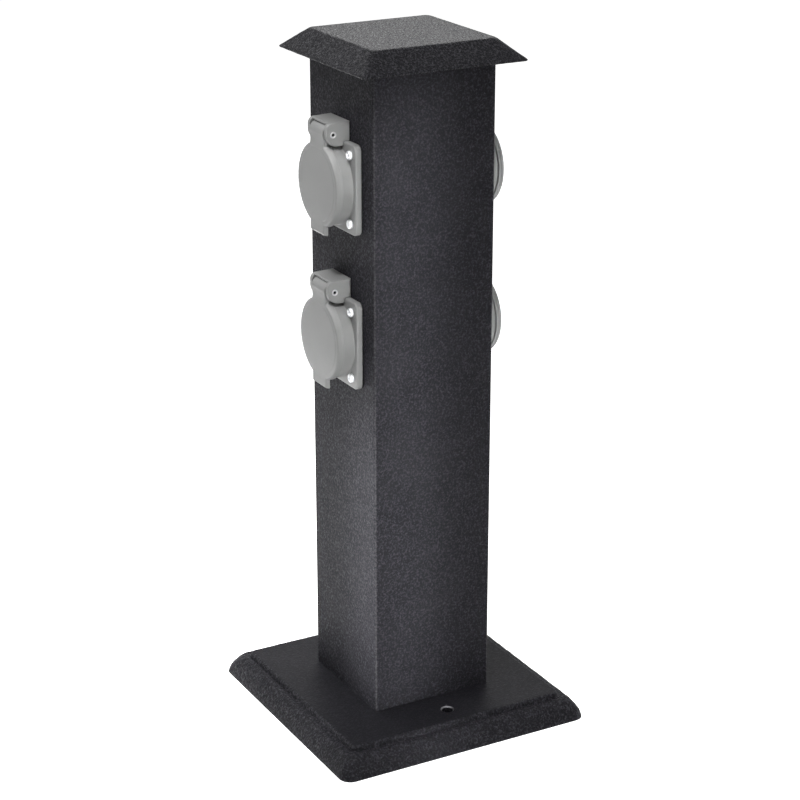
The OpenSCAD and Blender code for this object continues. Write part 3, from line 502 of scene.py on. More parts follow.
class SurfaceTree(Tree):
    """A material's nodes, with its shader and the object's coordinates ready."""

    def __init__(self, tree: NodeTree) -> None:
        """Puts the shader, the coordinates and the output in an emptied tree.

        Args:
            tree: the material's own tree.
        """
        super().__init__(tree)
        tree.nodes.clear()
        self.shader = self.add("ShaderNodeBsdfPrincipled")
        self.coords = self.add("ShaderNodeTexCoord").outputs["Object"]
        self.add("ShaderNodeOutputMaterial", {"Surface": self.shader.outputs["BSDF"]})

    def part(self, name: str) -> NodeSocket:
        """The coordinate X, Y or Z in metres."""
        return self.add("ShaderNodeSeparateXYZ", {"Vector": self.coords}).outputs[name]

    def effect(self, group: NodeTree, **values: float) -> bpy.types.NodeOutputs:
        """The outputs of a shared effect on the object's coordinates, with its own values."""
        return self.add("ShaderNodeGroup", {"Vector": self.coords, **values}, node_tree=group).outputs

    def dress(self, **inputs: object) -> None:
        """Feeds the shader's inputs, with _ for the blanks in their names."""
        self.feed(self.shader, {name.replace("_", " "): value for name, value in inputs.items()})


def rgba(colour: Colour) -> tuple[float, float, float, float]:
    """A colour with full alpha."""
    return (*colour, 1.0)


def new_group(name: str, inputs: tuple[str, ...], outputs: tuple[str, ...]) -> tuple[Tree, dict, Node]:
    """An empty shader node group with a Vector input and named values.

    Args:
        name: the group's name.
        inputs: names of its number inputs.
        outputs: names of its number outputs.

    Returns:
        The tree, its inputs' sockets by name, and the node that takes its outputs.
    """
    group = bpy.data.node_groups.new(name, "ShaderNodeTree")
    group.interface.new_socket("Vector", in_out="INPUT", socket_type="NodeSocketVector")
    for way, labels in (("INPUT", inputs), ("OUTPUT", outputs)):
        for label in labels:
            group.interface.new_socket(label, in_out=way, socket_type="NodeSocketFloat")
    tree = Tree(group)
    given = tree.add("NodeGroupInput")
    return tree, {socket.name: socket for socket in given.outputs}, tree.add("NodeGroupOutput")


class Effects:
    """The surface effects that several finishes share, each a node group built once."""

    @staticmethod
    @cache
    def crinkle() -> NodeTree:
        """Crinkled powder coat: worm-like ridges and fine grains over lumps, and slow patches.

        A ridge runs where a noise passes its middle value, and fades with the distance from it.

        Returns:
            The group, which takes the scales of grains and lumps.
        """
        worm_scale, worm_half, worm_share, lump_share, patch_scale = 0.7, 0.09, 0.35, 0.7, 34.0
        middle, grain_range, ridge_range, patch_range = 0.5, (0.40, 0.74), (0.25, 0.90), (0.35, 0.65)
        tree, given, result = new_group("crinkle", ("Grain", "Lump"), ("Height", "Ridge", "Patch"))
        vector = given["Vector"]
        worm_grain = tree.math("MULTIPLY", given["Grain"], worm_scale)
        coarse = tree.noise(vector, worm_grain, detail=2.0, roughness=0.55)
        away = tree.math("ABSOLUTE", tree.math("SUBTRACT", coarse, middle), 0.0)
        worm = tree.spread(away, (0.0, worm_half), (1.0, 0.0))
        grain = tree.spread(tree.noise(vector, given["Grain"], detail=2.0, roughness=0.6), grain_range)
        relief = tree.blend(worm, grain, worm_share)
        lump = tree.math("MULTIPLY", tree.noise(vector, given["Lump"], detail=2.0), lump_share)
        tree.feed(result, {
            "Height": tree.math("ADD", relief, lump),
            "Ridge": tree.spread(relief, ridge_range),
            "Patch": tree.spread(tree.noise(vector, patch_scale, detail=3.0), patch_range),
        })
        return tree.tree

    @staticmethod
    @cache
    def moulded() -> NodeTree:
        """Moulded plastic: a fine matt grain, and slow shade from one part of the moulding to another.

        Returns:
            The group, which takes the scales of the grain and the slow shade.
        """
        flow_share, shade_range = 0.75, (0.3, 0.7)
        tree, given, result = new_group("moulded", ("Grain", "Flow"), ("Height", "Shade"))
        fine = tree.noise(given["Vector"], given["Grain"], detail=2.0, roughness=0.6)
        flow = tree.noise(given["Vector"], given["Flow"], detail=3.0, roughness=0.55)
        shade = tree.spread(tree.blend(flow, fine, flow_share), shade_range)
        tree.feed(result, {"Height": fine, "Shade": shade})
        return tree.tree

    @staticmethod
    @cache
    def plated() -> NodeTree:
        """Plated or drawn metal: cloudy tarnish, and fine scratches drawn out along z.

        Returns:
            The group, which takes the scales of clouds and scratches.
        """
        drawn_out, cloud_range = (1.0, 1.0, 0.08), (0.35, 0.7)
        tree, given, result = new_group("plated", ("Cloud", "Scratch"), ("Tarnish", "Height"))
        cloud = tree.noise(given["Vector"], given["Cloud"], detail=4.0, roughness=0.6)
        stretch = tree.add("ShaderNodeMapping", {"Vector": given["Vector"], "Scale": drawn_out})
        scratch = tree.noise(stretch.outputs["Vector"], given["Scratch"], detail=3.0)
        tree.feed(result, {"Tarnish": tree.spread(cloud, cloud_range), "Height": scratch})
        return tree.tree


@dataclass(frozen=True)
class Finish:
    """A finish: its colour and shade, its range of roughness, and its relief's strength and depth."""

    slot: str
    colour: Colour
    shade: Colour
    roughness: Span
    bump: float
    depth: float = 0.1

    @cache
    def material(self) -> Material:
        """The finish as a material, made on first use.

        Returns:
            The material, named as its slot with the ending _finish.
        """
        made = bpy.data.materials.new(f"{self.slot}_finish")
        made.use_nodes = True
        self.paint(SurfaceTree(made.node_tree))
        return made

    def paint(self, tree: SurfaceTree) -> None:
        """Wires the finish's effects into its shader."""
        raise NotImplementedError

    def ground(self, tree: SurfaceTree, mask: NodeSocket) -> NodeSocket:
        """The colour where a mask is 0 and the shade where it is 1."""
        return tree.mix(mask, rgba(self.colour), rgba(self.shade))

    def dullness(self, tree: SurfaceTree, mask: NodeSocket) -> NodeSocket:
        """The first roughness where a mask is 0 and the last where it is 1."""
        return tree.spread(mask, UNIT, self.roughness)

    def relief(self, tree: SurfaceTree, height: NodeSocket) -> NodeSocket:
        """The normal bent by a height, whose full range is the depth in millimetres."""
        inputs = {"Height": height, "Strength": self.bump, "Distance": self.depth * MM}
        return tree.add("ShaderNodeBump", inputs).outputs["Normal"]


@dataclass(frozen=True)
class Coat(Finish):
    """Black crinkle powder coat on steel and castings."""

    # paler colour of the crinkle's tops: partly its grain, partly painted sheen against painted shade in the
    # hollows
    ridge: Colour = (0.0455, 0.0443, 0.0535)
    grain: float = 820.0
    lump: float = 300.0
    depth: float = 0.3
    specular: float = 0.05
    gloss: float = 0.06
    gloss_roughness: float = 0.3

    def paint(self, tree: SurfaceTree) -> None:
        """Dark hollows with slow patches, paler and glossier ridges; the hollows' darkness and the ridges'
        paleness are partly the crinkle's own grain and partly painted shade and painted sheen.

        Args:
            tree: the material's nodes.
        """
        effect = tree.effect(Effects.crinkle(), Grain=self.grain, Lump=self.lump)
        ridge, height = (self.shown(tree, effect[name]) for name in ("Ridge", "Height"))
        # painted shade and sheen: the hollows keep the dark ground, and the ridges take the paler colour
        coat = tree.mix(ridge, self.ground(tree, effect["Patch"]), rgba(self.ridge))
        tree.dress(
            Base_Color=self.highlighted(tree, effect["Height"], coat),
            Roughness=self.dullness(tree, ridge),
            Specular_IOR_Level=self.specular,
            Coat_Weight=tree.math("MULTIPLY", ridge, self.gloss),
            Coat_Roughness=self.gloss_roughness,
            Normal=self.relief(tree, height),
        )

    def shown(self, tree: SurfaceTree, crinkle: NodeSocket) -> NodeSocket:
        """How strongly the crinkle shows, which is in full."""
        return crinkle

    def highlighted(self, tree: SurfaceTree, height: NodeSocket, coat: NodeSocket) -> NodeSocket:
        """The coat's colour with its painted corner highlight, which is none."""
        return coat


@dataclass(frozen=True)
class TubeCoat(Coat):
    """Crinkle coat on the post tube, with a painted highlight that makes it paler along the upright corners.
    """

    half: float = 37.5
    # painted highlight on the corners: it starts this far inside the half width and is full at the next
    highlight_from: float = 1.2
    highlight_full: float = 0.3
    corner_highlight: Colour = (0.066, 0.065, 0.069)

    def highlighted(self, tree: SurfaceTree, height: NodeSocket, coat: NodeSocket) -> NodeSocket:
        """The coat with a painted highlight, paler where x and y are both near the half width, and most on
        the crinkle's tops.

        Args:
            tree: the material's nodes.
            height: the crinkle's height.
            coat: the coat's colour.

        Returns:
            The colour with its painted highlight.
        """
        top_range, top_highlight = (0.25, 0.95), (0.1, 1.0)
        sizes = [tree.math("ABSOLUTE", tree.part(name), 0.0) for name in ("X", "Y")]
        ends = ((self.half - self.highlight_from) * MM, (self.half - self.highlight_full) * MM)
        # painted highlight: the upright corners are lightened as though their rounding caught the light
        corner = tree.spread(tree.math("MINIMUM", *sizes), ends)
        tops = tree.spread(height, top_range, top_highlight)
        return tree.mix(tree.math("MULTIPLY", corner, tops), coat, rgba(self.corner_highlight))


@dataclass(frozen=True)
class BaseCoat(Coat):
    """Coat on the base's casting, whose flat panel is smoother than its moulded edge. The full crinkle's
    paler ridges on the rounds below the flat top also make a painted highlight along the panel's edge.
    """

    flat: float = 0.22
    flat_span: Span = (14.7, 14.95)

    def shown(self, tree: SurfaceTree, crinkle: NodeSocket) -> NodeSocket:
        """The crinkle, weak on the panel's flat top, and full on the slopes and rounds below it."""
        # full crinkle below the flat top: its pale ridges also paint a highlight along the panel's rounded
        # edge
        ends = (self.flat_span[0] * MM, self.flat_span[1] * MM)
        return tree.math("MULTIPLY", crinkle, tree.spread(tree.part("Z"), ends, (1.0, self.flat)))


@dataclass(frozen=True)
class Moulding(Finish):
    """Moulded plastic or rubber with a matt grain."""

    grain: float = 2600.0
    flow: float = 70.0
    depth: float = 0.12
    specular: float = 0.5

    def paint(self, tree: SurfaceTree) -> None:
        """Plain colour with a slow shade, a fine grain and a satin gloss.

        Args:
            tree: the material's nodes.
        """
        effect = tree.effect(Effects.moulded(), Grain=self.grain, Flow=self.flow)
        tree.dress(
            Base_Color=self.ground(tree, effect["Shade"]),
            Roughness=self.dullness(tree, effect["Shade"]),
            Specular_IOR_Level=self.specular,
            Normal=self.relief(tree, effect["Height"]),
        )


@dataclass(frozen=True)
class Striped(Moulding):
    """Moulded insulation with a second colour in stripes."""

    stripe: Colour = (0.75, 0.62, 0.04)
    pitch: float = 2.8

    def paint(self, tree: SurfaceTree) -> None:
        """The moulded finish, with stripes that change over along x.

        Args:
            tree: the material's nodes.
        """
        super().paint(tree)
        change = (0.45, 0.55)
        ground = tree.shader.inputs["Base Color"].links[0].from_socket
        wave = {"Vector": tree.coords, "Scale": 1.0 / (self.pitch * MM * math.pi), "Distortion": 0.0}
        band = tree.add("ShaderNodeTexWave", wave, bands_direction="X").outputs["Fac"]
        tree.dress(Base_Color=tree.mix(tree.spread(band, change), ground, rgba(self.stripe)))


@dataclass(frozen=True)
class Metal(Finish):
    """Bare or plated metal."""

    cloud: float = 260.0
    scratch: float = 2400.0
    depth: float = 0.02

    def paint(self, tree: SurfaceTree) -> None:
        """Metal whose tarnish dulls its colour and its gloss, with fine scratches.

        Args:
            tree: the material's nodes.
        """
        effect = tree.effect(Effects.plated(), Cloud=self.cloud, Scratch=self.scratch)
        tree.dress(
            Base_Color=self.ground(tree, effect["Tarnish"]),
            Roughness=self.dullness(tree, effect["Tarnish"]),
            Metallic=1.0,
            Normal=self.relief(tree, effect["Height"]),
        )


COAT = TubeCoat("black_coat", (0.0150, 0.0147, 0.0176), (0.0195, 0.0192, 0.0222), (0.62, 0.44), 0.7)
CASTING = Coat(
    "cast_coat", (0.004, 0.004, 0.0058), (0.007, 0.007, 0.0092), (0.50, 0.34), 0.9,
    ridge=(0.040, 0.0385, 0.048), grain=900.0, lump=320.0, depth=1.2, specular=0.10, gloss=0.45,
)
BASE_COAT = BaseCoat(
    "base_coat", (0.0055, 0.0053, 0.0070), (0.0085, 0.0083, 0.0102), (0.58, 0.40), 0.9,
    ridge=(0.038, 0.0369, 0.0445), grain=760.0, lump=200.0, depth=0.6, specular=0.08, gloss=0.12,
)
GREY = Moulding("grey_plastic", (0.187, 0.189, 0.188), (0.215, 0.217, 0.214), (0.40, 0.50), 0.25)
WORN_STEEL = Metal("worn_steel", (0.17, 0.17, 0.18), (0.08, 0.08, 0.085), (0.45, 0.60), 0.3)
PIN_STEEL = Metal("pin_steel", (0.50, 0.50, 0.51), (0.38, 0.38, 0.39), (0.38, 0.50), 0.3)
# near-black steel for the pin's bore: partly dull bare steel, partly painted shade inside the bore
BORE_SHADE_STEEL = Metal("dull_steel", (0.020, 0.020, 0.020), (0.035, 0.034, 0.033), (0.60, 0.75), 0.3)
ZINC_STEEL = Metal("zinc_steel", (0.90, 0.91, 0.92), (0.78, 0.79, 0.81), (0.38, 0.50), 0.3)
SPRING_STEEL = Metal("spring_steel", (0.55, 0.55, 0.56), (0.42, 0.42, 0.43), (0.25, 0.38), 0.3)
FINISHES = (
    COAT,
    GREY,
    Moulding("carrier_plastic", (0.30, 0.305, 0.305), (0.34, 0.342, 0.34), (0.45, 0.55), 0.25),
    Moulding("ivory_plastic", (0.68, 0.63, 0.50), (0.74, 0.69, 0.57), (0.35, 0.45), 0.2),
    Moulding("black_plastic", (0.018, 0.018, 0.019), (0.028, 0.028, 0.029), (0.40, 0.52), 0.25),
    Moulding("black_rubber", (0.016, 0.016, 0.016), (0.026, 0.026, 0.026), (0.62, 0.75), 0.35, specular=0.3),
    ZINC_STEEL,
    SPRING_STEEL,
    Metal("brass", (0.78, 0.57, 0.25), (0.60, 0.42, 0.18), (0.24, 0.40), 0.3),
    Metal("copper", (0.80, 0.42, 0.27), (0.60, 0.30, 0.18), (0.26, 0.42), 0.3),
    Moulding("brown_wire", (0.13, 0.06, 0.03), (0.16, 0.075, 0.04), (0.38, 0.48), 0.2),
    Moulding("blue_wire", (0.03, 0.12, 0.42), (0.04, 0.15, 0.48), (0.38, 0.48), 0.2),
    Striped("green_yellow_wire", (0.07, 0.30, 0.05), (0.09, 0.36, 0.06), (0.38, 0.48), 0.2),
)


class Bench:
    """Turns skins into finished pieces on the frame's bodies."""

    def __init__(self, frame: dict) -> None:
        """Keeps the frame's nodes and the record's list of them."""
        self.nodes: dict[str, Object] = frame["nodes"]
        self.subparts: list[dict] = frame["record"]["subparts"]

    def mesh(self, name: str, shells: list[Shell], turn: Matrix) -> Mesh:
        """Writes skins into one mesh, each with its seams welded and its faces turned outward.

        Args:
            name: the mesh's name.
            shells: closed skins in millimetres.
            turn: places the skins in the frame, in millimetres.

        Returns:
            The mesh in metres, smooth with sharp creases.
        """
        whole = bmesh.new()
        for shell in shells:
            part = bpy.data.meshes.new("part")
            part.from_pydata(shell.points, [], shell.faces())
            part.polygons.foreach_set("material_index", shell.finishes())
            work = bmesh.new()
            work.from_mesh(part)
            work.transform(Matrix.Scale(MM, 4) @ turn)
            bmesh.ops.remove_doubles(work, verts=work.verts, dist=WELD)
            bmesh.ops.recalc_face_normals(work, faces=work.faces)
            work.to_mesh(part)
            work.free()
            whole.from_mesh(part)
            bpy.data.meshes.remove(part)
        made = bpy.data.meshes.new(name)
        whole.to_mesh(made)
        whole.free()
        made.shade_smooth()
        made.set_sharp_from_angle(angle=SHARP_ANGLE)
        return made

    def add(
        self, name: str, shells: list[Shell], finish: Finish, node: str, slot: str,
        body: str | None = None, turn: Matrix | None = None, second: Finish | None = None,
    ) -> Object:
        """Makes a piece that stands for a CAD node.

        Args:
            name: the piece's name.
            shells: its closed skins.
            finish: its finish.
            node: the CAD node that it replaces.
            slot: the record's material slot, which is not used.
            body: the body that it rides on, or None, which leaves the piece on no body.
            turn: places the skins, or None where they are in place.
            second: the finish of the skins whose finish number is 1.

        Returns:
            The piece.
        """
        piece = bpy.data.objects.new(name, self.mesh(name, shells, turn or Matrix.Identity(4)))
        bpy.context.scene.collection.objects.link(piece)
        for dress in filter(None, (finish, second)):
            piece.data.materials.append(dress.material())
        even = piece.modifiers.new("even_normals", "WEIGHTED_NORMAL")
        even.keep_sharp = True
        if body:
            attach(piece, body)
        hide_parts(node)
        LOG.info("%s: %d faces in place of %s", name, len(piece.data.polygons), node)
        return piece

    def dress_nodes(self) -> None:
        """Gives every CAD node the finish of its slot."""
        finishes = {finish.slot: finish for finish in FINISHES}
        for part in self.subparts:
            node = self.nodes[part["node"]]
            finish = finishes[part["material_slot"]]
            node.data.materials.clear()
            node.data.materials.append(finish.material())
            LOG.info("%s: %s", node.name, finish.slot)


@dataclass
class CastBase:
    """The cast base: an ovolo edge, a raised panel and a hollow underside with two fixing bosses."""

    corner_r: float = 7.0
    foot_r: float = 0.4
    edge_h: float = 0.3
    step_h: float = 11.8
    ovolo_w: float = 7.5
    ovolo_bend: float = 1.42
    ovolo_rows: int = 24
    flat_w: float = 3.6
    fillet_r: float = 0.6
    panel_edge_r: float = 2.4
    panel_corner_r: float = 5.0
    cavity_h: float = 8.0
    cavity_corner_r: float = 2.0
    rim_w: float = 12.0
    fixing_x: float = 55.0
    fixing_r: float = 3.25
    sink: float = 0.7
    boss_r: float = 8.0
    gland_r: float = 8.15
    spigot_half: float = 35.2
    spigot_wall: float = 2.5
    spigot_h: float = 6.0
    spigot_root: float = 1.0
    row_step: float = 0.7
    bend: int = 14
    run: int = 127
    well_sides: int = 32

    def __post_init__(self) -> None:
        """Takes the overall sizes from the frame."""
        self.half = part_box("base_plate")[1][0] / MM
        self.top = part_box("post_tube")[0][2] / MM

    def edge_profile(self) -> Array:
        """The moulded edge from the ground up, as half width, corner radius and height.

        A small round at the foot is followed by a low upright edge, a quarter of an ellipse whose sine
        and cosine are raised to ovolo_bend, a flat, a fillet, and the panel's edge. The corner radius goes
        evenly with the inset from the foot's to the panel's, and the panel's shrinks as its edge draws in.

        Returns:
            Rows of shape (n, 3).
        """
        turn = np.radians(np.linspace(0.0, 90.0, self.ovolo_rows))
        foot = arc(self.foot_r, self.foot_r, self.foot_r, 270.0, 180.0)
        ovolo_in = self.ovolo_w * (1 - np.cos(turn) ** self.ovolo_bend)
        ovolo_up = self.edge_h + (self.step_h - self.edge_h) * np.sin(turn) ** self.ovolo_bend
        start = self.ovolo_w + self.flat_w
        fillet = arc(start - self.fillet_r, self.step_h + self.fillet_r, self.fillet_r, 270.0, 360.0)
        crown = self.top - self.panel_edge_r
        panel = arc(start + self.panel_edge_r, crown, self.panel_edge_r, 180.0, 90.0)
        lower = np.concatenate([foot, np.stack([ovolo_in, ovolo_up], axis=1)])
        upper = np.concatenate([fillet, panel])
        lower_r = self.corner_r + (self.panel_corner_r - self.corner_r) * lower[:, 0] / start
        upper_r = self.panel_corner_r - np.maximum(upper[:, 0] - start, 0.0)
        line = np.concatenate([lower, upper])
        return np.column_stack([self.half - line[:, 0], np.concatenate([lower_r, upper_r]), line[:, 1]])

    def edge(self) -> Array:
        """The moulded edge as a grid of rounded squares, one for each row of its profile.

        Returns:
            Points of shape (rows, columns, 3), with the casting's lumps.
        """
        rows = evenly(self.edge_profile(), self.row_step)
        loops = rounded_square(rows[:, 0], rows[:, 1], self.bend, self.run)
        return cast_lumps(Axis.UP.place(loops, rows[:, 2:]), height=0.06, wave=2.6, seed=5)

    def plate(self, outer: Array, hole_r: float, z: float) -> list[Array]:
        """A flat plate in four quarters that leave out the gland's hole and a hole at each fixing.

        Args:
            outer: the plate's outline, of shape (n, 2), from the middle of its +x side.
            hole_r: radius of the fixing holes.
            z: height of the plate.

        Returns:
            The outline of each quarter, as points of shape (m, 3).
        """
        side = outer[: len(outer) // 4 + 1]
        gland = arc(0.0, 0.0, self.gland_r, 90.0, 0.0, self.well_sides // 4)
        fixing = arc(self.fixing_x, 0.0, hole_r, 180.0, 0.0, self.well_sides // 2)
        quarter = Axis.UP.place(np.concatenate([side, gland, fixing]), z)
        return [quarter * np.array([x, y, 1.0]) for x in (1.0, -1.0) for y in (1.0, -1.0)]

    def well(self, x: float, radii: tuple[float, ...], heights: tuple[float, ...]) -> Shell:
        """Round walls about an upright axis at x, one circle for each radius and height."""
        walls = lathe(np.column_stack([radii, heights]), Axis.UP, sides=self.well_sides, caps=False)
        return walls.moved((x, 0.0, 0.0))

    def body(self) -> Shell:
        """The whole casting as one skin: edge, panel, underside, cavity, bosses and holes.

        Its rows run down the cavity's wall, out under the foot and up the moulded edge. Flat plates close
        the cavity and the panel round the holes.

        Returns:
            The skin, with finish 1 on the sunk rims of the fixing holes.
        """
        edge = self.edge()
        cavity = rounded_square(self.half - self.rim_w, self.cavity_corner_r, self.bend, self.run)[0]
        inside = [Axis.UP.place(cavity, height)[None] for height in (self.cavity_h, 0.0)]
        hole_r, sunk_r, sunk_z = self.fixing_r, self.fixing_r + self.sink, self.top - self.sink
        flats = self.plate(edge[-1, :, :2], sunk_r, self.top)
        flats += self.plate(cavity, self.boss_r, self.cavity_h)
        parts = [skin(np.concatenate([*inside, edge]), caps=False)]
        parts.append(self.well(0.0, (self.gland_r,) * 2, (self.cavity_h, self.top)))
        for x in (-self.fixing_x, self.fixing_x):
            parts.append(self.well(x, (self.boss_r, self.boss_r, hole_r), (self.cavity_h, 0.0, 0.0)))
            parts.append(self.well(x, (hole_r, hole_r), (0.0, sunk_z)))
            parts.append(replace(self.well(x, (hole_r, sunk_r), (sunk_z, self.top)), finish=1))
        return joined(parts, flats)

    def build(self, bench: Bench) -> None:
        """Puts the base on the post, with the square ring that enters the tube.

        Args:
            bench: makes the piece.
        """
        low, high = self.top - self.spigot_root, self.top + self.spigot_h
        shells = [self.body(), square_ring(self.spigot_half, self.spigot_wall, low, high)]
        bench.add("cast_base", shells, BASE_COAT, "base_plate", COAT.slot, "post", second=WORN_STEEL)


@dataclass
class CastCap:
    """The cast cap: four slopes with softened hips under a flat top, and a pocket for the tube."""

    overlap: float = 2.0
    edge_h: float = 0.8
    top_half: float = 37.75
    hip_r: float = 1.5
    top_corner_r: float = 3.2
    top_edge_r: float = 2.2
    lip_r: float = 0.35
    lip_steps: int = 4
    pocket_half: float = 37.8
    pocket_h: float = 3.0
    spigot_half: float = 35.2
    spigot_wall: float = 3.2
    spigot_h: float = 9.0
    spigot_root: float = 1.5
    row_step: float = 0.8
    bend: int = 8
    run: int = 95

    def __post_init__(self) -> None:
        """Takes the overall sizes from the frame."""
        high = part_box("cap")[1]
        self.half, self.top = high[0] / MM, high[2] / MM
        self.tube_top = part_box("post_tube")[1][2] / MM
        self.low = self.tube_top - self.overlap

    def profile(self) -> Array:
        """The cap's outside from the pocket's edge to its top, as half width and height.

        It runs under the eaves, over a thin upright lip, up the slope, and round the edge of the top,
        which is an arc tangent to slope and top.

        Returns:
            Points of shape (n, 2).
        """
        slope = math.degrees(math.atan2(self.top - self.low - self.edge_h, self.half - self.top_half))
        bend_r = self.top_edge_r
        reach = bend_r * math.tan(math.radians(slope) / 2)
        crown = arc(self.top_half - reach, self.top - bend_r, bend_r, 90.0 - slope, 90.0)
        lip = arc(self.half - self.lip_r, self.low + self.lip_r, self.lip_r, 270.0, 360.0, self.lip_steps)
        brow = [[self.half, self.low + self.edge_h]]
        return np.concatenate([[[self.pocket_half, self.low]], lip, brow, crown])

    def body(self) -> Shell:
        """The cap's skin, rounded squares whose corner radius grows evenly from the hips' foot to the top.

        Returns:
            The pocket's ceiling and wall, the outside, and the top.
        """
        rows = evenly(self.profile(), self.row_step)
        share = np.clip((rows[:, 1] - self.low) / (self.top - self.low), 0.0, 1.0)
        radii = self.hip_r + (self.top_corner_r - self.hip_r) * share
        loops = rounded_square(rows[:, 0], radii, self.bend, self.run)
        outside = cast_lumps(Axis.UP.place(loops, rows[:, 1:]), height=0.03, wave=2.6, seed=11)
        ceiling = outside[:1] + np.array([0.0, 0.0, self.pocket_h])
        return skin(np.concatenate([ceiling, outside]))

    def build(self, bench: Bench) -> None:
        """Puts the cap on the post, with the square ring that enters the tube.

        Args:
            bench: makes the piece.
        """
        low, high = self.tube_top - self.spigot_h, self.tube_top + self.spigot_root
        shells = [self.body(), square_ring(self.spigot_half, self.spigot_wall, low, high)]
        bench.add("cast_cap", shells, CASTING, "cap", COAT.slot, "post")


@dataclass
class PanelSocket:
    """One spring-lid panel socket: housing, lid, hinge pin and spring.

    Depths run outward from the tube's face, and heights up from the socket's centre.
    """

    name: str
    face: Face
    flange_half: float = 25.0
    flange_r: float = 3.5
    flange_back: float = 0.8
    flange_face: float = 4.3
    flange_edges: Span = (0.2, 0.9)
    collar_r: float = 23.0
    collar_face: float = 10.7
    recess_r: float = 19.5
    barrel_r: float = 21.4
    barrel_end: float = -12.0
    rib_half: float = 2.2
    rib_h: float = 2.2
    rib_span: Span = (-6.7, 7.9)
    rib_edges: Span = (0.1, 0.5)
    hinge_out: float = 10.3
    hinge_up: float = 29.0
    knuckle_r: float = 4.9
    ear_in: float = 8.2
    ear_out: float = 11.2
    ear_face: float = 14.5
    ear_bottom: float = 22.4
    ear_edge: float = 0.55
    brow_r: float = 3.6
    chin_r: float = 6.4
    wall_back: float = 0.3
    wall_front: float = 2.5
    roof_low: float = 34.1
    roof_back: float = 35.6
    roof_front: float = 35.3
    roof_reach: float = 12.5
    roof_lip_r: float = 0.45
    lid_back: float = 11.2
    lip_back: float = 10.82
    lid_face: float = 15.0
    lid_back_r: float = 23.7
    lid_r: float = 23.3
    lid_edge: float = 1.1
    lid_dome: float = 0.5
    lid_rows: tuple[float, ...] = (
        0.975, 0.955, 0.94, 0.93, 0.92, 0.91, 0.9, 0.88, 0.8, 0.65, 0.5, 0.35, 0.2, 0.1, 0.0)
    hollow_r: float = 21.6
    hollow_floor: float = 12.4
    groove: tuple[float, float, float] = (19.6, 21.4, 13.2)
    plate_back: float = 12.8
    tab_half: float = 8.5
    tab_end: float = -27.1
    neck_half: float = 7.9
    neck_face: float = 14.6
    neck_start: float = 20.6
    neck_top: float = 26.0
    neck_edge: float = 0.45
    pin_r: float = 1.8
    pin_bore_r: float = 0.85
    pin_half: float = 11.5
    spring_r: float = 2.6
    spring_wire_r: float = 0.3
    spring_half: float = 3.1
    spring_turns: float = 59 / 12
    spring_leg: float = 4.2

    def __post_init__(self) -> None:
        """Takes the socket's place from its flange gasket in the frame."""
        low, high = (np.array(corner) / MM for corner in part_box(f"{self.name}_flange_gasket"))
        tube_face, centre_z = min(abs(low[1]), abs(high[1])), (low[2] + high[2]) / 2
        turn = Matrix.Rotation(math.radians(self.face.value), 4, "Z")
        self.place = turn @ Matrix.Translation((0.0, -tube_face, centre_z))

    def add(
        self, bench: Bench, part: str, shells: list[Shell], finish: Finish, body: str | None,
        slot: str = "", second: Finish | None = None,
    ) -> Object:
        """Makes one of the socket's pieces in its place, named after the CAD node that it replaces.

        Args:
            bench: makes the piece.
            part: the node's name without the socket's.
            shells: the piece's closed skins.
            finish: its finish.
            body: the body that it rides on, or None, which leaves it on no body.
            slot: the record's slot, where it isn't the finish's own.
            second: the finish of the skins whose finish number is 1.

        Returns:
            The piece.
        """
        node = f"{self.name}_{part}"
        slot = slot or finish.slot
        return bench.add(f"{node}_skin", shells, finish, node, slot, body, self.place, second)

    def collar(self) -> Shell:
        """The collar and the barrel behind it, as a loop of radius and depth turned about the axis.

        Returns:
            A closed ring.
        """
        foot_r, lip_r, mouth_r, sunk = 0.6, 0.2, 0.5, 0.3
        root = self.flange_face - sunk
        loop = np.concatenate([
            [[self.barrel_r, root], [self.collar_r + foot_r, root]],
            arc(self.collar_r + foot_r, self.flange_face + foot_r, foot_r, 270.0, 180.0),
            arc(self.collar_r - lip_r, self.collar_face - lip_r, lip_r, 0.0, 90.0),
            arc(self.recess_r + mouth_r, self.collar_face - mouth_r, mouth_r, 90.0, 180.0),
            [[self.recess_r, self.barrel_end], [self.barrel_r, self.barrel_end]],
        ])
        return lathe(loop, Axis.OUT, ring=True)

    def flange(self) -> Shell:
        """The square flange with a rounded front edge, as a pierced prism, open where the collar passes.

        Returns:
            A closed skin.
        """
        lap = 1.0
        outline = rounded_square(self.flange_half, self.flange_r, bend=8, run=13)[0]
        span = (self.flange_back, self.flange_face)
        return pierced(outline, (0.0, 0.0, self.recess_r + lap), span, Axis.OUT, self.flange_edges)

    def ribs(self) -> list[Shell]:
        """The two ribs in the recess that guide the plug, as prisms on an oblong and on its mirror.

        Returns:
            A closed skin for each rib.
        """
        lap = 0.5
        outline = oblong((self.recess_r - self.rib_h, self.recess_r + lap), (-self.rib_half, self.rib_half))
        outlines = (outline, outline * MIRROR)
        return [prism(shape, self.rib_span, Axis.OUT, self.rib_edges) for shape in outlines]

    def ears(self) -> list[Shell]:
        """The two ears of the hinge block, as a side view with round brow and chin, bored for the pin.

        Returns:
            A closed skin for each ear.
        """
        lap, play = 1.0, 0.05
        top, root = self.flange_half, self.flange_face - lap
        brow_r, chin_r = self.brow_r, self.chin_r
        outline = np.concatenate([
            [[self.wall_back, top], [self.wall_back, self.roof_back]],
            arc(self.ear_face - brow_r, self.roof_front - brow_r, brow_r, 90.0, 0.0, steps=12),
            arc(self.ear_face - chin_r, self.ear_bottom + chin_r, chin_r, 0.0, -90.0, steps=16),
            [[root, self.ear_bottom], [root, top]],
        ])
        hole = (self.hinge_out, self.hinge_up, self.pin_r + play)
        return [
            pierced(outline, hole, (self.ear_in, self.ear_out), Axis.ACROSS, (0.0, self.ear_edge)),
            pierced(outline, hole, (-self.ear_out, -self.ear_in), Axis.ACROSS, (self.ear_edge, 0.0)),
        ]

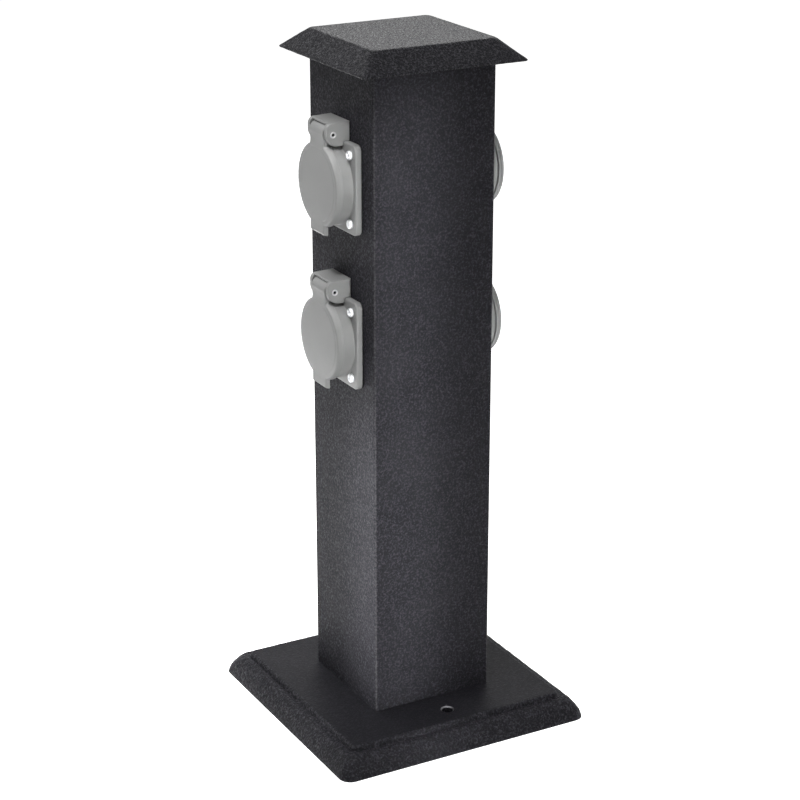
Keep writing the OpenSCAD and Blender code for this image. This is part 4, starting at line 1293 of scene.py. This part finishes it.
    def roof(self) -> list[Shell]:
        """The roof over the knuckle and the wall behind it, as side views carried from ear to ear.

        Returns:
            The closed skins of roof and wall.
        """
        flange_lap, roof_lap, ear_lap, lip_r = 1.0, 0.5, 0.01, self.roof_lip_r
        heights, half = (self.flange_half - flange_lap, self.roof_low + roof_lap), self.ear_in + ear_lap
        roof = np.concatenate([
            [[self.wall_back, self.roof_low], [self.wall_back, self.roof_back]],
            [[self.hinge_out, self.roof_front]],
            arc(self.roof_reach - lip_r, self.roof_front - lip_r, lip_r, 90.0, 0.0),
            [[self.roof_reach, self.roof_low]],
        ])
        wall = oblong((self.wall_back, self.wall_front), heights)
        return [prism(shape, (-half, half), Axis.ACROSS) for shape in (roof, wall)]

    def lid_outline(self) -> Array:
        """The lid from the front: a disc, a neck above and a lift tab below, with filleted joins.

        A fillet of radius f beside a side at a has its centre at a + f across, and at R + f from the
        disc's centre, so it touches both.

        Returns:
            Points of shape (n, 2).
        """
        neck_f, tab_f, corner_r = 1.8, 0.7, 0.9
        neck_x, tab_x = self.neck_half + neck_f, self.tab_half + tab_f
        neck_z = math.sqrt((self.lid_r + neck_f) ** 2 - neck_x ** 2)
        tab_z = math.sqrt((self.lid_r + tab_f) ** 2 - tab_x ** 2)
        neck_turn = math.degrees(math.atan2(neck_z, neck_x))
        tab_turn = math.degrees(math.atan2(tab_z, tab_x))
        right = np.concatenate([
            arc(self.tab_half - corner_r, self.tab_end + corner_r, corner_r, 270.0, 360.0, steps=6),
            arc(tab_x, -tab_z, tab_f, 180.0, 180.0 - tab_turn, steps=6),
            arc(0.0, 0.0, self.lid_r, -tab_turn, neck_turn, steps=72)[1:-1],
            arc(neck_x, neck_z, neck_f, 180.0 + neck_turn, 180.0),
            [[self.neck_half, self.neck_top]],
        ])
        return np.concatenate([right, right[::-1] * MIRROR])

    def lid_height(self, outline: Array) -> Array:
        """Depth of the lid's face: a shallow dome, a step inside its edge, and a fall along the neck.

        The dome is its height times one less the square of the radius over the face's. The step and
        the fall grow evenly over a width and a length, and the neck lies a hair lower than the disc.

        Args:
            outline: points of shape (..., 2).

        Returns:
            Depths of shape (...).
        """
        step_h, step_r, step_w, step_end, neck_drop = 0.14, 20.2, 0.35, 21.5, 0.03
        r, up = np.linalg.norm(outline, axis=-1), outline[..., 1]
        dome = self.lid_dome * np.clip(1.0 - (r / (self.lid_r - self.lid_edge)) ** 2, 0.0, 1.0)
        step = step_h * np.clip((r - step_r) / step_w, 0.0, 1.0) * (np.abs(up) < step_end)
        run = self.hinge_up - self.knuckle_r - self.neck_start
        share = np.clip((up - self.neck_start) / run, 0.0, 1.0)
        fall = share * (self.lid_face - self.neck_face) + neck_drop * (share > 0.0)
        return self.lid_face + dome - step - fall

    def lid_plate(self) -> Shell:
        """The lid's face: the outline lofted over its rounded edge, then drawn in towards the middle.

        Returns:
            A closed skin.
        """
        outline = self.lid_outline()
        flare = np.array([-0.3])
        first, lift = rim(self.lid_edge)
        edge = inset(outline, first[::-1])
        rounded = Axis.OUT.place(edge, self.lid_height(edge) - lift[::-1, None])
        back = Axis.OUT.place(inset(outline, flare), self.plate_back)
        inner = edge[-1:] * np.array(self.lid_rows)[:, None, None]
        return skin(np.concatenate([back, rounded, Axis.OUT.place(inner, self.lid_height(inner))]))

    def lid_rim(self) -> Shell:
        """The lid's rim and hollow back, as a line of radius and depth turned about the axis.

        Returns:
            A closed skin.
        """
        taper_h, soft, lip_edge, tuck, lap, shelf, under = 2.6, 0.15, 0.3, 0.02, 0.1, 0.4, 0.8
        floor, ceiling, back = self.hollow_floor, self.lid_face - under, self.lip_back
        inner, outer, deep = self.groove
        rim_r = self.lid_back_r - (self.lid_back_r - self.lid_r) * (self.plate_back - back) / taper_h
        line = np.array([
            [0.0, floor], [inner, floor], [inner, deep], [outer, deep], [outer, floor],
            [self.hollow_r, floor], [self.hollow_r, back + soft], [self.hollow_r + soft, back],
            [self.lid_back_r - lip_edge, back], [self.lid_back_r, back + lip_edge],
            [rim_r - tuck, self.plate_back + lap], [self.hollow_r - shelf, ceiling], [0.0, ceiling],
        ])
        return lathe(line, Axis.OUT)

    def strap(self) -> list[Shell]:
        """The neck and knuckle, as side views across the lid: full at both sides, a shell at the spring.

        Returns:
            The closed skins of both sides and of the shell between them.
        """
        out, up, r = self.hinge_out, self.hinge_up, self.knuckle_r
        room_r, room_half, opening = 3.3, 3.7, 0.3
        root_in, root_down, tail_in, tail_up, tail_down = 1.8, 2.0, 0.2, 0.3, 0.8
        heel = math.degrees(math.acos((self.lid_back - out) / r))
        front = np.array([
            [self.lid_face - root_in, self.neck_start - root_down],
            [self.lid_face, self.neck_start],
            [self.neck_face, up - r],
        ])
        tail = np.array([
            [self.lid_back, self.lid_r + tail_up],
            [self.hollow_floor + tail_in, self.lid_r - tail_down],
        ])
        full = np.concatenate([front, arc(out, up, r, 0.0, 360.0 - heel, steps=48), tail])
        outer, inner = (math.degrees(math.acos(opening / size)) for size in (r, room_r))
        thin = np.concatenate([
            front, arc(out, up, r, 0.0, outer, steps=14), arc(out, up, room_r, inner, -inner, steps=28),
            [[out + opening, up - math.sqrt(r * r - opening * opening)]], tail,
        ])
        return [
            prism(full, (room_half, self.neck_half), Axis.ACROSS, (0.0, self.neck_edge)),
            prism(full, (-self.neck_half, -room_half), Axis.ACROSS, (self.neck_edge, 0.0)),
            prism(thin, (-room_half, room_half), Axis.ACROSS),
        ]

    def pin(self) -> list[Shell]:
        """The hollow hinge pin and a near-black lining in its bore that paints the bore's shade, as loops of
        radius and length turned about it.

        Returns:
            The pin with finish 0 and its lining with finish 1.
        """
        soft, flare, lining, end = 0.18, 0.42, 0.12, self.pin_half
        half = np.array([
            [self.pin_bore_r, end - flare], [self.pin_bore_r + flare, end],
            [self.pin_r - soft, end], [self.pin_r, end - soft],
        ])
        # painted shade: a thin near-black lining inside the bore
        bore_shade = np.array([[self.pin_bore_r - lining, end - flare], [self.pin_bore_r, end - flare]])
        loops = [np.concatenate([side, side[::-1] * -MIRROR]) for side in (half, bore_shade)]
        turned = [lathe(loop, Axis.ACROSS, ring=True, sides=40) for loop in loops]
        hinge = (0.0, -self.hinge_out, self.hinge_up)
        return [replace(shell.moved(hinge), finish=number) for number, shell in enumerate(turned)]

    def build_spring(self, bench: Bench) -> None:
        """Winds the lid spring, a helix with a leg at each end, about the hinge between post and lid.

        A point of the coil lies at spring_r from the hinge at an angle that grows evenly with x.

        Args:
            bench: makes the piece.
        """
        coil_points, leg_points, first_turn, wall_gap = 240, 10, -90.0, 0.1
        turn = np.radians(np.linspace(0.0, 360.0 * self.spring_turns, coil_points) + first_turn)
        across = np.linspace(-self.spring_half, self.spring_half, len(turn))
        depth = self.hinge_out + self.spring_r * np.cos(turn)
        height = self.hinge_up + self.spring_r * np.sin(turn)
        coil = np.column_stack([across, -depth, height])
        wall = [-self.spring_half, -self.wall_front - wall_gap, height[0]]
        foot = np.linspace(wall, coil[0], leg_points)[:-1]
        way = np.array([0.0, np.sin(turn[-1]), np.cos(turn[-1])])
        leg = coil[-1] + np.linspace(0.0, self.spring_leg, leg_points)[1:, None] * way
        shell = tube(np.concatenate([foot, coil, leg]), self.spring_wire_r, (1.0, 0.0, 0.0))
        piece = self.add(bench, "lid_spring", [shell], SPRING_STEEL, None)
        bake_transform(piece)

    def build(self, bench: Bench) -> None:
        """Makes the socket's housing, lid, pin and spring; its other nodes are dressed with the rest.

        Args:
            bench: makes the pieces.
        """
        housing = [self.collar(), self.flange(), *self.ribs(), *self.ears(), *self.roof()]
        self.add(bench, "housing", housing, GREY, "post")
        lid = [self.lid_plate(), self.lid_rim(), *self.strap()]
        self.add(bench, "lid", lid, GREY, f"{self.name}_lid_body")
        self.add(bench, "hinge_pin", self.pin(), PIN_STEEL, "post", ZINC_STEEL.slot, BORE_SHADE_STEEL)
        self.build_spring(bench)


@dataclass
class FlangeScrews:
    """The pan-head screws of every socket's flange, in one piece.

    A screw is drawn about its own axis, with its height outward from the flange's face.
    """

    spacing: float = 38.0
    shank_r: float = 1.5
    shank: float = 12.4
    head_r: float = 2.6
    head_h: float = 1.7
    brim: float = 0.4
    crown: float = 0.7
    cross_reach: float = 1.5
    cross_half: float = 0.38
    cross_depth: float = 0.8
    soft: float = 0.15
    turns: Span = (30.0, 15.0)
    bow_rows: int = 7
    top_rows: int = 16
    sides: int = 64

    def screw(self, turned: float) -> Shell:
        """A shank and a head turned about an axis, with a cross sunk in the head.

        The head bows from its full radius, at the brim's share of its height, to the crown's share of
        that radius at the top. Each of its points sinks by the cross's depth times the share of the point
        that the cross covers.

        Args:
            turned: the cross's angle in degrees.

        Returns:
            A closed skin.
        """
        bow = np.linspace(0.0, math.pi / 2, self.bow_rows)
        bow_r = self.head_r * (self.crown + (1.0 - self.crown) * np.cos(bow))
        bow_h = self.head_h * (self.brim + (1.0 - self.brim) * np.sin(bow))
        dome = np.stack([bow_r, bow_h], axis=1)
        stem = [[0.0, -self.shank], [self.shank_r, -self.shank], [self.shank_r, 0.0], [self.head_r, 0.0]]
        top = np.linspace(dome[-1], [0.0, self.head_h], self.top_rows)[1:]
        made = lathe(np.concatenate([stem, dome, top]), Axis.OUT, sides=self.sides)
        off = np.abs(made.points[:, [0, 2]] @ np.array(Matrix.Rotation(math.radians(turned), 2)))
        limits = (self.cross_reach, self.cross_half)
        far, near = (np.clip((limit - off) / self.soft + 0.5, 0.0, 1.0) for limit in limits)
        cover = np.max(far * near[:, ::-1], axis=1)
        sunk = np.where(made.points[:, 1] < 0.0, self.cross_depth * cover, 0.0)
        return made.moved(sunk[:, None] * np.array([0.0, 1.0, 0.0]))

    def build(self, bench: Bench, sockets: list[PanelSocket]) -> None:
        """Puts four screws in each socket's flange, each turned in its own way.

        Args:
            bench: makes the piece.
            sockets: the sockets that they hold.
        """
        half, shells = self.spacing / 2, []
        for socket in sockets:
            for x, z in ((-1, -1), (-1, 1), (1, -1), (1, 1)):
                screw = self.screw(self.turns[0] * x + self.turns[1] * z)
                shells.append(screw.moved((x * half, -socket.flange_face, z * half)).placed(socket.place))
        bench.add("flange_screws_skin", shells, ZINC_STEEL, "flange_screws", ZINC_STEEL.slot, "post")


def aimed(target: Array, azimuth: float, elevation: float, distance: float) -> Matrix:
    """Place and turn of a camera or light that looks at a target from a distance.

    Args:
        target: the point that it looks at, in metres.
        azimuth: angle of its place about the upright axis from -y, in degrees.
        elevation: angle of its place above the ground, in degrees.
        distance: how far it is from the target, in metres.

    Returns:
        The matrix, with the view along its own -z.
    """
    turn, rise = math.radians(azimuth), math.radians(elevation)
    right = np.array([math.cos(turn), math.sin(turn), 0.0])
    back = np.array([math.sin(turn) * math.cos(rise), -math.cos(turn) * math.cos(rise), math.sin(rise)])
    matrix = np.eye(4)
    matrix[:3, :3] = np.column_stack([right, np.cross(back, right), back])
    matrix[:3, 3] = target + back * distance
    return Matrix(matrix.tolist())


@dataclass(frozen=True)
class Lamp:
    """A soft light, square where tall is 0, with sizes in metres and power in watts."""

    name: str
    azimuth: float
    elevation: float
    distance: float
    size: float
    power: float
    aim: Point = (0.0, 0.0, 0.2)
    spread: float = 180.0
    tall: float = 0.0

    def build(self) -> None:
        """Hangs the light so that it looks at its aim."""
        data = bpy.data.lights.new(self.name, "AREA")
        data.shape = "RECTANGLE"
        data.size, data.size_y = self.size, self.tall or self.size
        data.energy = self.power
        data.spread = math.radians(self.spread)
        light = bpy.data.objects.new(self.name, data)
        light.matrix_world = aimed(np.array(self.aim), self.azimuth, self.elevation, self.distance)
        light.visible_camera = False
        bpy.context.scene.collection.objects.link(light)


@dataclass
class Studio:
    """A white floor and backdrop, soft lights, and the camera at the photograph's angle.

    The camera's sizes are in millimetres, and the floor's and the lamps' in metres.
    """

    azimuth: float = 61.13
    elevation: float = 20.4
    distance: float = 1265.6
    focal_px: float = 2210.42
    image_px: float = 800.0
    sensor: float = 36.0
    far_clip: float = 50.0
    target_z: float = 188.22
    target_right: float = -0.88
    floor_half: float = 6.0
    sky: float = 0.12
    floor_colour: Colour = (0.75, 0.75, 0.75)
    floor_lift: float = 0.88
    lamps: tuple[Lamp, ...] = (
        Lamp("side", 108.0, 26.0, 2.0, 1.0, 4.2),
        Lamp("strip", 90.0, 0.0, 0.30, 0.03, 0.070, (0.0, -0.021, 0.17), 18.0, 0.40),
        Lamp("corner", 0.0, 0.0, 0.30, 0.03, 0.054, (0.034, 0.0, 0.11), 20.0, 0.17),
        Lamp("over", 22.0, 71.0, 1.6, 1.0, 22.0),
        Lamp("roofs", 32.0, 63.0, 0.50, 0.05, 0.009, (0.0, -0.0465, 0.302), 12.0),
        Lamp("rear", 90.0, 0.0, 0.25, 0.02, 0.014, (0.0, 0.058, 0.28), 12.0, 0.20),
        Lamp("back", 238.0, 24.0, 1.8, 0.8, 5.2, (0.0, 0.0, 0.4)),
        Lamp("left_pool", 0.0, 90.0, 0.6, 0.35, 2.2, (-0.30, -0.20, 0.0), 60.0),
        Lamp("right_pool", 0.0, 90.0, 0.6, 0.35, 1.5, (0.40, 0.10, 0.0), 60.0),
    )

    def aim_camera(self) -> None:
        """Sets the camera with no shift and no depth of field."""
        turn = math.radians(self.azimuth)
        side = np.array([math.cos(turn), math.sin(turn), 0.0])
        target = np.array([0.0, 0.0, self.target_z]) + side * self.target_right
        data = bpy.data.cameras.new("camera")
        data.sensor_width = self.sensor
        data.lens = self.focal_px * self.sensor / self.image_px
        data.clip_end = self.far_clip
        camera = bpy.data.objects.new("camera", data)
        camera.matrix_world = aimed(target * MM, self.azimuth, self.elevation, self.distance * MM)
        bpy.context.scene.collection.objects.link(camera)
        bpy.context.scene.camera = camera

    def seen(self, tree: Tree) -> NodeSocket:
        """One for rays that show a surface to the camera, straight on or in gloss or glass.

        Args:
            tree: the nodes that use it.

        Returns:
            The value, 0 for all other rays.
        """
        path = tree.add("ShaderNodeLightPath").outputs
        shown = tree.math("MAXIMUM", path["Is Camera Ray"], path["Is Glossy Ray"])
        return tree.math("MAXIMUM", shown, path["Is Transmission Ray"])

    def lay_floor(self) -> None:
        """Lays a white floor that keeps the post's shadow and shows white where it is lit."""
        span = (-self.floor_half, self.floor_half)
        mesh = bpy.data.meshes.new("floor")
        mesh.from_pydata(Axis.UP.place(oblong(span, span), 0.0), [], [(0, 1, 2, 3)])
        floor = bpy.data.objects.new("floor", mesh)
        bpy.context.scene.collection.objects.link(floor)
        made = bpy.data.materials.new("floor_white")
        made.use_nodes = True
        made.node_tree.nodes.clear()
        tree = Tree(made.node_tree)
        matt = tree.add("ShaderNodeBsdfDiffuse", {"Color": rgba(self.floor_colour)})
        lift = tree.math("MULTIPLY", self.seen(tree), self.floor_lift)
        glow = tree.add("ShaderNodeEmission", {"Strength": lift})
        both = tree.add("ShaderNodeAddShader", {0: matt.outputs[0], 1: glow.outputs[0]})
        tree.add("ShaderNodeOutputMaterial", {"Surface": both.outputs[0]})
        mesh.materials.append(made)

    def light_world(self) -> None:
        """Lights the post from all round, with a backdrop that shows white."""
        world = bpy.data.worlds.new("studio")
        bpy.context.scene.world = world
        world.use_nodes = True
        world.node_tree.nodes.clear()
        tree = Tree(world.node_tree)
        strength = tree.spread(self.seen(tree), UNIT, (self.sky, 1.0))
        sky = tree.add("ShaderNodeBackground", {"Color": (1.0, 1.0, 1.0, 1.0), "Strength": strength})
        tree.add("ShaderNodeOutputWorld", {"Surface": sky.outputs[0]})

    def build(self) -> None:
        """Sets up camera, floor, world and lights."""
        self.aim_camera()
        self.lay_floor()
        self.light_world()
        for lamp in self.lamps:
            lamp.build()
        bpy.context.scene.view_settings.view_transform = "Standard"
        LOG.info("studio: %d lights", len(self.lamps))


def main() -> None:
    """Loads the frame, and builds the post's pieces in order."""
    logging.basicConfig(level=logging.INFO, format="%(name)s: %(message)s", stream=sys.stdout)
    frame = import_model()
    Studio().build()
    bench = Bench(frame)
    bench.dress_nodes()
    CastBase().build(bench)
    CastCap().build(bench)
    sockets = [
        PanelSocket(f"{face.name.lower()}_{level}", face) for face in Face for level in ("upper", "lower")
    ]
    for socket in sockets:
        socket.build(bench)
    FlangeScrews().build(bench, sockets)


if __name__ == "__main__":
    main()
